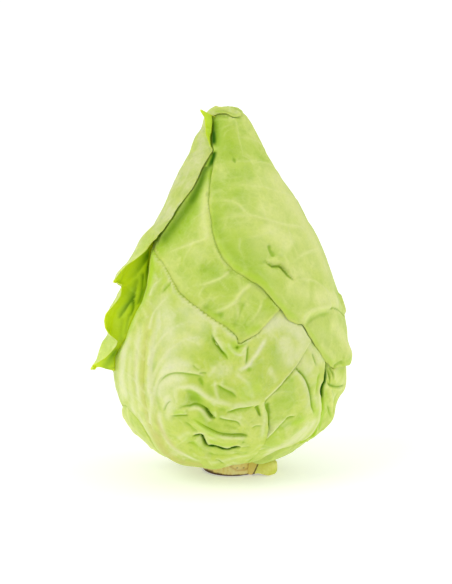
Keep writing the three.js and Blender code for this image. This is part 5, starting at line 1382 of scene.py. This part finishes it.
def build_stub():
    pts = np.array([(10.5, -14.6), (14, -17.0), (18.5, -18.0), (23.5, -16.9), (26.9, -13.0), (27.9, -7.5), (26.0, -2.0), (21.0, 1.6), (14.5, 2.0), (10.5, -2.0), (9.5, -8.5)])
    P3 = np.vstack([pts[-1], pts, pts[:2]])
    loop_ = []
    for i in range(1, len(P3) - 2):
        for k in range(9):
            u = k / 9
            p0, p1, p2, p3 = P3[i - 1:i + 3]
            loop_.append(0.5 * (2 * p1 + (p2 - p0) * u + (2 * p0 - 5 * p1 + 4 * p2 - p3) * u * u + (3 * p1 - p0 - 3 * p2 + p3) * u ** 3))
    L = np.array(loop_)
    c = np.array([18.6, -8.0])
    prof_ = [(0.25, 0.9), (0.5, 0.85), (0.72, 0.7), (0.86, 0.45), (0.93, 0.35), (0.975, 0.7), (0.997, 1.3), (1.008, 2.1), (1.012, 3.0), (1.010, 4.0), (1.005, 5.0),
             (0.995, 6.0), (0.98, 6.9), (0.955, 7.7), (0.91, 8.4), (0.84, 8.95), (0.74, 9.35), (0.6, 9.6), (0.42, 9.75), (0.2, 9.8)]
    rings = []
    for k, z in prof_:
        xy = c + (L - c) * k
        p = np.column_stack([xy, np.full(len(xy), z)])
        lift = 1.5 * np.exp(-(((p[:, 0] - 16.5) / 3.8) ** 2 + ((p[:, 1] + 17.0) / 3.0) ** 2)) * (1 - sm(z, 0.5, 3.5))
        p[:, 2] += lift
        p[:, 2] -= 1.3 * sm(p[:, 0], 20, 28) * sm(z, 5, 9)
        nz = value_noise(p, 3.5, 41) * 0.3 + value_noise(p, 1.3, 42) * 0.1
        p[:, :2] += (p[:, :2] - c) / 10 * nz[:, None]
        rings.append(p)
    rings = np.array(rings)

    def attrs(p):
        n1 = value_noise(p, 2.5, 51)
        seam = np.exp(-((p[:, 0] - (15.0 + 0.42 * (p[:, 2] - 5) )) / 0.55) ** 2) * sm(-p[:, 1], 10, 13)
        left = 1 - sm(p[:, 0] - 0.42 * (p[:, 2] - 5), 14.4, 15.2)
        low = np.exp(-(p[:, 2] / 0.9) ** 2) * (0.6 + 0.4 * n1)
        dark = np.exp(-(((p[:, 0] - 17.2) / 3.6) ** 2 + ((p[:, 2] - 0.6) / 1.1) ** 2)) * sm(-p[:, 1], 9, 13)
        return {"brown": np.clip(seam * 0.9 + low * 0.55 + dark, 0, 1), "tan": np.clip(left, 0, 1),
                "green": sm(p[:, 0], 20, 27) * (1 - sm(p[:, 2], 1.5, 5.5))}
    return ring_solid("cut_leaf_stub_look", rings, attrs)


# =====================================================================================
# Materials
# =====================================================================================
def lin(r, g, b):
    f = lambda v: (v / 255) / 12.92 if v <= 10.3 else ((v / 255 + 0.055) / 1.055) ** 2.4
    return (f(r), f(g), f(b), 1.0)


class Nodes:
    def __init__(self, name):
        self.m = bpy.data.materials.new(name)
        self.m.use_nodes = True
        self.t = self.m.node_tree
        self.bsdf = next(n for n in self.t.nodes if n.type == "BSDF_PRINCIPLED")

    def link(self, a, b):
        self.t.links.new(a, b)

    def attr(self, name):
        n = self.t.nodes.new("ShaderNodeAttribute")
        n.attribute_name = name
        return n.outputs["Fac"]

    def coords(self, scale=(1, 1, 1)):
        n = self.t.nodes.new("ShaderNodeTexCoord")
        m = self.t.nodes.new("ShaderNodeMapping")
        m.inputs["Scale"].default_value = scale
        self.link(n.outputs["Object"], m.inputs["Vector"])
        return m.outputs["Vector"]

    def noise(self, vec, scale, detail=3.0, rough=0.55, distort=0.0):
        n = self.t.nodes.new("ShaderNodeTexNoise")
        n.inputs["Scale"].default_value = scale
        n.inputs["Detail"].default_value = detail
        n.inputs["Roughness"].default_value = rough
        n.inputs["Distortion"].default_value = distort
        self.link(vec, n.inputs["Vector"])
        return n.outputs["Fac"], n.outputs["Color"]

    def edges(self, vec, scale):
        n = self.t.nodes.new("ShaderNodeTexVoronoi")
        n.feature = "DISTANCE_TO_EDGE"
        n.inputs["Scale"].default_value = scale
        self.link(vec, n.inputs["Vector"])
        return n.outputs["Distance"]

    def map(self, x, a, b, c=0.0, d=1.0, smooth=True):
        n = self.t.nodes.new("ShaderNodeMapRange")
        n.interpolation_type = "SMOOTHSTEP" if smooth else "LINEAR"
        n.clamp = True
        self.put(x, n.inputs[0])
        for i, v in enumerate((a, b, c, d)):
            n.inputs[i + 1].default_value = v
        return n.outputs[0]

    def put(self, x, socket):
        if isinstance(x, (int, float)):
            socket.default_value = x
        elif isinstance(x, tuple):
            socket.default_value = x
        else:
            self.link(x, socket)

    def math(self, op, a, b=0.0, clamp=False):
        n = self.t.nodes.new("ShaderNodeMath")
        n.operation = op
        n.use_clamp = clamp
        self.put(a, n.inputs[0])
        self.put(b, n.inputs[1])
        return n.outputs[0]

    def mix(self, f, a, b, blend="MIX"):
        n = self.t.nodes.new("ShaderNodeMix")
        n.data_type = "RGBA"
        n.blend_type = blend
        self.put(f, n.inputs[0])
        self.put(a, n.inputs[6])
        self.put(b, n.inputs[7])
        return n.outputs[2]

    def warp(self, vec, colour, amount):
        s = self.t.nodes.new("ShaderNodeVectorMath")
        s.operation = "SUBTRACT"
        self.link(colour, s.inputs[0])
        s.inputs[1].default_value = (0.5, 0.5, 0.5)
        k = self.t.nodes.new("ShaderNodeVectorMath")
        k.operation = "SCALE"
        self.link(s.outputs[0], k.inputs[0])
        k.inputs["Scale"].default_value = amount
        a = self.t.nodes.new("ShaderNodeVectorMath")
        a.operation = "ADD"
        self.link(vec, a.inputs[0])
        self.link(k.outputs[0], a.inputs[1])
        return a.outputs[0]

    def bump(self, height, strength, dist):
        n = self.t.nodes.new("ShaderNodeBump")
        n.inputs["Strength"].default_value = strength
        n.inputs["Distance"].default_value = dist
        self.link(height, n.inputs["Height"])
        return n.outputs["Normal"]


def leaf_material(name, base, alt, deep, pale, veinc, inner, net=0.35, rough=0.46, seed=0.0, cavity=0.75, sss=(0.5, 0.0016)):
    N = Nodes(name)
    v = N.coords()
    big, bigc = N.noise(v, 38 + seed, 3, 0.55, 0.3)
    mid, midc = N.noise(v, 130, 4, 0.6, 0.2)
    fine, _ = N.noise(v, 620, 4, 0.6)
    grain, _ = N.noise(v, 1900, 2, 0.5)
    e1 = N.edges(N.warp(v, midc, 0.0045), 150)
    e2 = N.edges(N.warp(v, midc, 0.0030), 430)
    net1 = N.map(e1, 0.0, 0.15, 1.0, 0.0)
    net2 = N.map(e2, 0.0, 0.17, 1.0, 0.0)
    net1 = N.math("MULTIPLY", net1, N.map(big, 0.38, 0.62, 0.15, 1.0))
    net2 = N.math("MULTIPLY", net2, N.map(mid, 0.35, 0.6, 0.2, 1.0))
    vein, pale_, deep_, cav, edge, inn, dark_, warm_, glow_ = (N.attr(a) for a in ("vein", "pale", "deep", "cav", "edge", "inner", "dark", "warm", "backlit_glow"))
    soft, _ = N.noise(v, 85, 3, 0.6, 0.9)
    col = N.mix(N.map(big, 0.34, 0.66), base, alt)
    col = N.mix(N.math("MULTIPLY", N.map(mid, 0.42, 0.68), 0.36), col, deep)
    col = N.mix(N.math("MULTIPLY", N.map(soft, 0.50, 0.72), 0.42), col, pale)
    # greener tissue and painted green shade, from 'deep'
    col = N.mix(N.math("MULTIPLY", deep_, 0.85, True), col, deep)
    p = N.math("MULTIPLY", pale_, N.map(mid, 0.25, 0.7, 0.80, 1.0), True)
    col = N.mix(p, col, pale)
    n_all = N.math("MAXIMUM", N.math("MULTIPLY", net1, net * 0.62), N.math("MULTIPLY", net2, net * 0.35))
    col = N.mix(n_all, col, pale)
    # painted shade in hollows and painted highlight on crests, from 'cav'
    col = N.mix(N.math("MULTIPLY", N.map(cav, 0.08, 0.9), cavity), col, deep)
    col = N.mix(N.math("MULTIPLY", N.map(cav, -0.08, -0.8), 0.45), col, pale)
    # painted glow of light through the thin sheet
    col = N.mix(N.math("MULTIPLY", glow_, 0.85), col, lin(180, 216, 46))
    col = N.mix(N.math("MULTIPLY", warm_, N.map(mid, 0.3, 0.7, 0.70, 0.9)), col, lin(200, 198, 106))
    col = N.mix(N.math("MULTIPLY", vein, 0.8), col, veinc)
    # painted rim light: yellow-green along the margins
    col = N.mix(N.math("MULTIPLY", edge, 0.35), col, lin(206, 222, 96))
    col = N.mix(N.math("MULTIPLY", N.map(fine, 0.35, 0.75), 0.12), col, deep)
    # inner faces: a saturated green that partly stands for light through the sheet (painted glow), shaded by the
    # painted shade in 'deep'
    inc = N.mix(N.math("MULTIPLY", N.map(mid, 0.35, 0.7), 0.35), inner, lin(198, 222, 70))
    inc = N.mix(deep_, inc, lin(66, 120, 6))
    col = N.mix(N.math("MULTIPLY", inn, 0.95), col, inc)
    # painted dark shade; it also lowers the gloss and subsurface there
    col = N.mix(N.math("MULTIPLY", N.map(dark_, 0.04, 1.0), 0.97), col, lin(30, 90, 0))
    N.link(col, N.bsdf.inputs["Base Color"])
    h = N.math("MULTIPLY", fine, 0.34)
    h = N.math("ADD", h, N.math("MULTIPLY", mid, 1.0))
    h = N.math("ADD", h, N.math("MULTIPLY", net1, 0.22))
    h = N.math("ADD", h, N.math("MULTIPLY", net2, 0.10))
    h = N.math("ADD", h, N.math("MULTIPLY", vein, 0.3))
    h = N.math("ADD", h, N.math("MULTIPLY", grain, 0.05))
    N.link(N.bump(h, 0.42, 0.0009), N.bsdf.inputs["Normal"])
    r = N.math("ADD", N.map(mid, 0.3, 0.7, rough - 0.05, rough + 0.07), N.math("MULTIPLY", fine, 0.05))
    N.link(r, N.bsdf.inputs["Roughness"])
    N.link(N.math("MULTIPLY", N.map(dark_, 0.02, 0.6, 0.28, 0.04), N.map(deep_, 0.4, 1.0, 1.0, 0.35)), N.bsdf.inputs["Specular IOR Level"])
    N.link(N.map(dark_, 0.05, 0.8, sss[0], 0.05), N.bsdf.inputs["Subsurface Weight"])
    N.bsdf.inputs["Subsurface Radius"].default_value = (0.95, 1.0, 0.22)
    N.bsdf.inputs["Subsurface Scale"].default_value = sss[1]
    return N.m


GREEN = dict(deep=lin(146, 186, 28), pale=lin(224, 232, 146), veinc=lin(224, 231, 152), inner=lin(176, 212, 24))
MATS = {
    A: leaf_material("leaf_pale", lin(196, 213, 88), lin(207, 220, 108), lin(152, 190, 36), lin(230, 233, 182), lin(228, 232, 176), lin(178, 210, 50), net=0.16, rough=0.45, seed=1.0),
    E: leaf_material("leaf_front_lower", lin(196, 214, 88), lin(206, 221, 108), lin(154, 194, 36), lin(228, 232, 172), lin(222, 229, 156), lin(176, 208, 40), net=0.2, rough=0.46, seed=2.0),
    D: leaf_material("leaf_front_upper", lin(184, 208, 74), lin(198, 215, 102), net=0.30, seed=3.0, **GREEN),
    Cc: leaf_material("leaf_right_upper", lin(184, 209, 76), lin(201, 218, 106), net=0.30, seed=4.0, **GREEN),
    B: leaf_material("leaf_left_upper", lin(199, 222, 102), lin(216, 233, 142), lin(158, 197, 44), lin(230, 237, 178), lin(226, 234, 166), lin(200, 226, 34), net=0.28, seed=5.0, sss=(0.85, 0.0030)),
    G: leaf_material("leaf_right_lower", lin(198, 217, 82), lin(211, 223, 106), net=0.26, seed=6.0, **GREEN),
    "left_lower_leaf": leaf_material("leaf_left_lower", lin(192, 212, 84), lin(206, 219, 106), net=0.3, seed=7.0, **GREEN),
    "back_lower_leaf": leaf_material("leaf_back_lower", lin(184, 208, 76), lin(200, 216, 102), net=0.34, seed=8.0, **GREEN),
}
HEART_MAT = leaf_material("leaf_heart", lin(190, 210, 84), lin(200, 216, 102), net=0.2, seed=9.0, **GREEN)


def stalk_material():
    N = Nodes("cut_stalk_tissue")
    v = N.coords()
    vz = N.coords((1, 1, 0.35))
    n1, c1 = N.noise(v, 170, 4, 0.6, 0.4)
    n2, _ = N.noise(vz, 620, 4, 0.65)
    n3, _ = N.noise(v, 2300, 3, 0.6)
    brown, scar, rad = N.attr("brown"), N.attr("scar"), N.attr("rad")
    col = N.mix(N.map(n1, 0.35, 0.65), lin(246, 222, 138), lin(250, 236, 172))
    col = N.mix(N.math("MULTIPLY", N.map(n2, 0.45, 0.7), 0.45), col, lin(226, 184, 96))
    # the cut face: paler pith inside a ring of vessels
    pith = N.math("MULTIPLY", N.map(rad, 0.0, 0.62, 1.0, 0.0), 0.7)
    col = N.mix(pith, col, lin(240, 232, 176))
    ringy = N.math("MULTIPLY", N.map(N.math("ABSOLUTE", N.math("SUBTRACT", rad, 0.72)), 0.0, 0.06, 1.0, 0.0), 0.5)
    col = N.mix(ringy, col, lin(150, 116, 56))
    col = N.mix(N.math("MULTIPLY", scar, 0.6), col, lin(196, 140, 66))
    b = N.math("ADD", brown, N.math("MULTIPLY", N.math("SUBTRACT", n2, 0.5), 0.5))
    col = N.mix(N.map(b, 0.22, 0.85), col, lin(88, 52, 26))
    N.link(col, N.bsdf.inputs["Base Color"])
    h = N.math("ADD", N.math("MULTIPLY", n2, 0.8), N.math("MULTIPLY", n3, 0.3))
    h = N.math("ADD", h, N.math("MULTIPLY", n1, 0.6))
    N.link(N.bump(h, 0.5, 0.0007), N.bsdf.inputs["Normal"])
    N.link(N.map(n1, 0.3, 0.7, 0.55, 0.75), N.bsdf.inputs["Roughness"])
    N.bsdf.inputs["Specular IOR Level"].default_value = 0.3
    N.bsdf.inputs["Subsurface Weight"].default_value = 0.15
    N.bsdf.inputs["Subsurface Radius"].default_value = (1.0, 0.8, 0.4)
    N.bsdf.inputs["Subsurface Scale"].default_value = 0.0010
    return N.m


def stub_material():
    N = Nodes("cut_leaf_stub_tissue")
    v = N.coords()
    n1, _ = N.noise(v, 150, 4, 0.6, 0.3)
    n2, _ = N.noise(v, 800, 4, 0.6)
    brown, tan, green = N.attr("brown"), N.attr("tan"), N.attr("green")
    col = N.mix(N.map(n1, 0.35, 0.65), lin(228, 226, 104), lin(236, 238, 134))
    col = N.mix(N.math("MULTIPLY", N.map(n2, 0.4, 0.7), 0.3), col, lin(214, 198, 84))
    col = N.mix(N.math("MULTIPLY", tan, 0.92), col, lin(240, 214, 126))
    col = N.mix(N.math("MULTIPLY", green, 0.75), col, lin(200, 214, 44))
    b = N.math("ADD", brown, N.math("MULTIPLY", N.math("SUBTRACT", n2, 0.5), 0.35))
    col = N.mix(N.map(b, 0.25, 0.85), col, lin(86, 58, 22))
    N.link(col, N.bsdf.inputs["Base Color"])
    h = N.math("ADD", N.math("MULTIPLY", n2, 0.5), N.math("MULTIPLY", n1, 0.9))
    N.link(N.bump(h, 0.4, 0.0008), N.bsdf.inputs["Normal"])
    N.link(N.map(n1, 0.3, 0.7, 0.42, 0.6), N.bsdf.inputs["Roughness"])
    N.bsdf.inputs["Specular IOR Level"].default_value = 0.35
    N.bsdf.inputs["Subsurface Weight"].default_value = 0.2
    N.bsdf.inputs["Subsurface Radius"].default_value = (1.0, 0.9, 0.35)
    N.bsdf.inputs["Subsurface Scale"].default_value = 0.0012
    return N.m


def place(ob, node, mat):
    ob.data.materials.append(mat)
    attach(ob, "root")
    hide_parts(node)
    return ob


for n in ORDER:
    place(build_leaf(n), n, MATS[n])
place(build_heart(), "heart", HEART_MAT)
place(build_stalk(), "cut_stalk", stalk_material())
place(build_stub(), "cut_leaf_stub", stub_material())

# ---- floor, lights, camera ----
bpy.ops.mesh.primitive_plane_add(size=14, location=(0, 3.0, 0))
floor = bpy.context.object
floor.name = "floor"
FN = Nodes("floor_paper")
fv, _ = FN.noise(FN.coords(), 9, 2, 0.5)
FN.link(FN.mix(FN.map(fv, 0.3, 0.7), (0.80, 0.80, 0.795, 1), (0.82, 0.82, 0.815, 1)), FN.bsdf.inputs["Base Color"])
FN.bsdf.inputs["Emission Color"].default_value = (1, 1, 1, 1)
FN.bsdf.inputs["Emission Strength"].default_value = 0.36
FN.bsdf.inputs["Roughness"].default_value = 0.7
FN.bsdf.inputs["Specular IOR Level"].default_value = 0.2
floor.data.materials.append(FN.m)

from mathutils import Vector


def soft_sun(name, az, el, angle, strength, colour=(1, 1, 1)):
    """A broad distant softbox; az from the front (-Y) toward +X, el above the floor, degrees."""
    d = bpy.data.lights.new(name, "SUN")
    d.angle = math.radians(angle)
    d.energy = strength
    d.color = colour
    o = bpy.data.objects.new(name, d)
    ca, sa, ce, se = math.cos(math.radians(az)), math.sin(math.radians(az)), math.cos(math.radians(el)), math.sin(math.radians(el))
    v = Vector((sa * ce, -ca * ce, se))
    o.location = v * 2
    o.rotation_mode = "QUATERNION"
    o.rotation_quaternion = (-v).to_track_quat("-Z", "Y")
    bpy.context.scene.collection.objects.link(o)
    return o


soft_sun("soft_left", -58, 40, 45, 1.2, (1.0, 0.998, 0.99))
soft_sun("soft_right", 82, 34, 60, 0.75)
soft_sun("soft_top", 150, 70, 80, 0.7)

w = bpy.data.worlds.new("studio")
bpy.context.scene.world = w
w.use_nodes = True
wt = w.node_tree
bg = wt.nodes["Background"]
bg.inputs["Color"].default_value = (1, 1, 1, 1)
bg.inputs["Strength"].default_value = 0.46
seen = wt.nodes.new("ShaderNodeBackground")
seen.inputs["Color"].default_value = (1, 1, 1, 1)
seen.inputs["Strength"].default_value = 1.05
lp = wt.nodes.new("ShaderNodeLightPath")
mx = wt.nodes.new("ShaderNodeMixShader")
wt.links.new(lp.outputs["Is Camera Ray"], mx.inputs[0])
wt.links.new(bg.outputs[0], mx.inputs[1])
wt.links.new(seen.outputs[0], mx.inputs[2])
wt.links.new(mx.outputs[0], wt.nodes["World Output"].inputs["Surface"])

cam = bpy.data.cameras.new("camera")
cam.lens, cam.sensor_width, cam.sensor_fit = LENS, 36.0, "AUTO"
cam.clip_start, cam.clip_end = 0.05, 60
co = bpy.data.objects.new("camera", cam)
co.location = Vector(EYE * 0.001)
co.rotation_mode = "QUATERNION"
co.rotation_quaternion = Vector(FWD).to_track_quat("-Z", "Y")
bpy.context.scene.collection.objects.link(co)
bpy.context.scene.camera = co
vs = bpy.context.scene.view_settings
vs.view_transform, vs.look, vs.exposure, vs.gamma = "Standard", "None", 0.0, 1.0

bpy.context.view_layer.update()
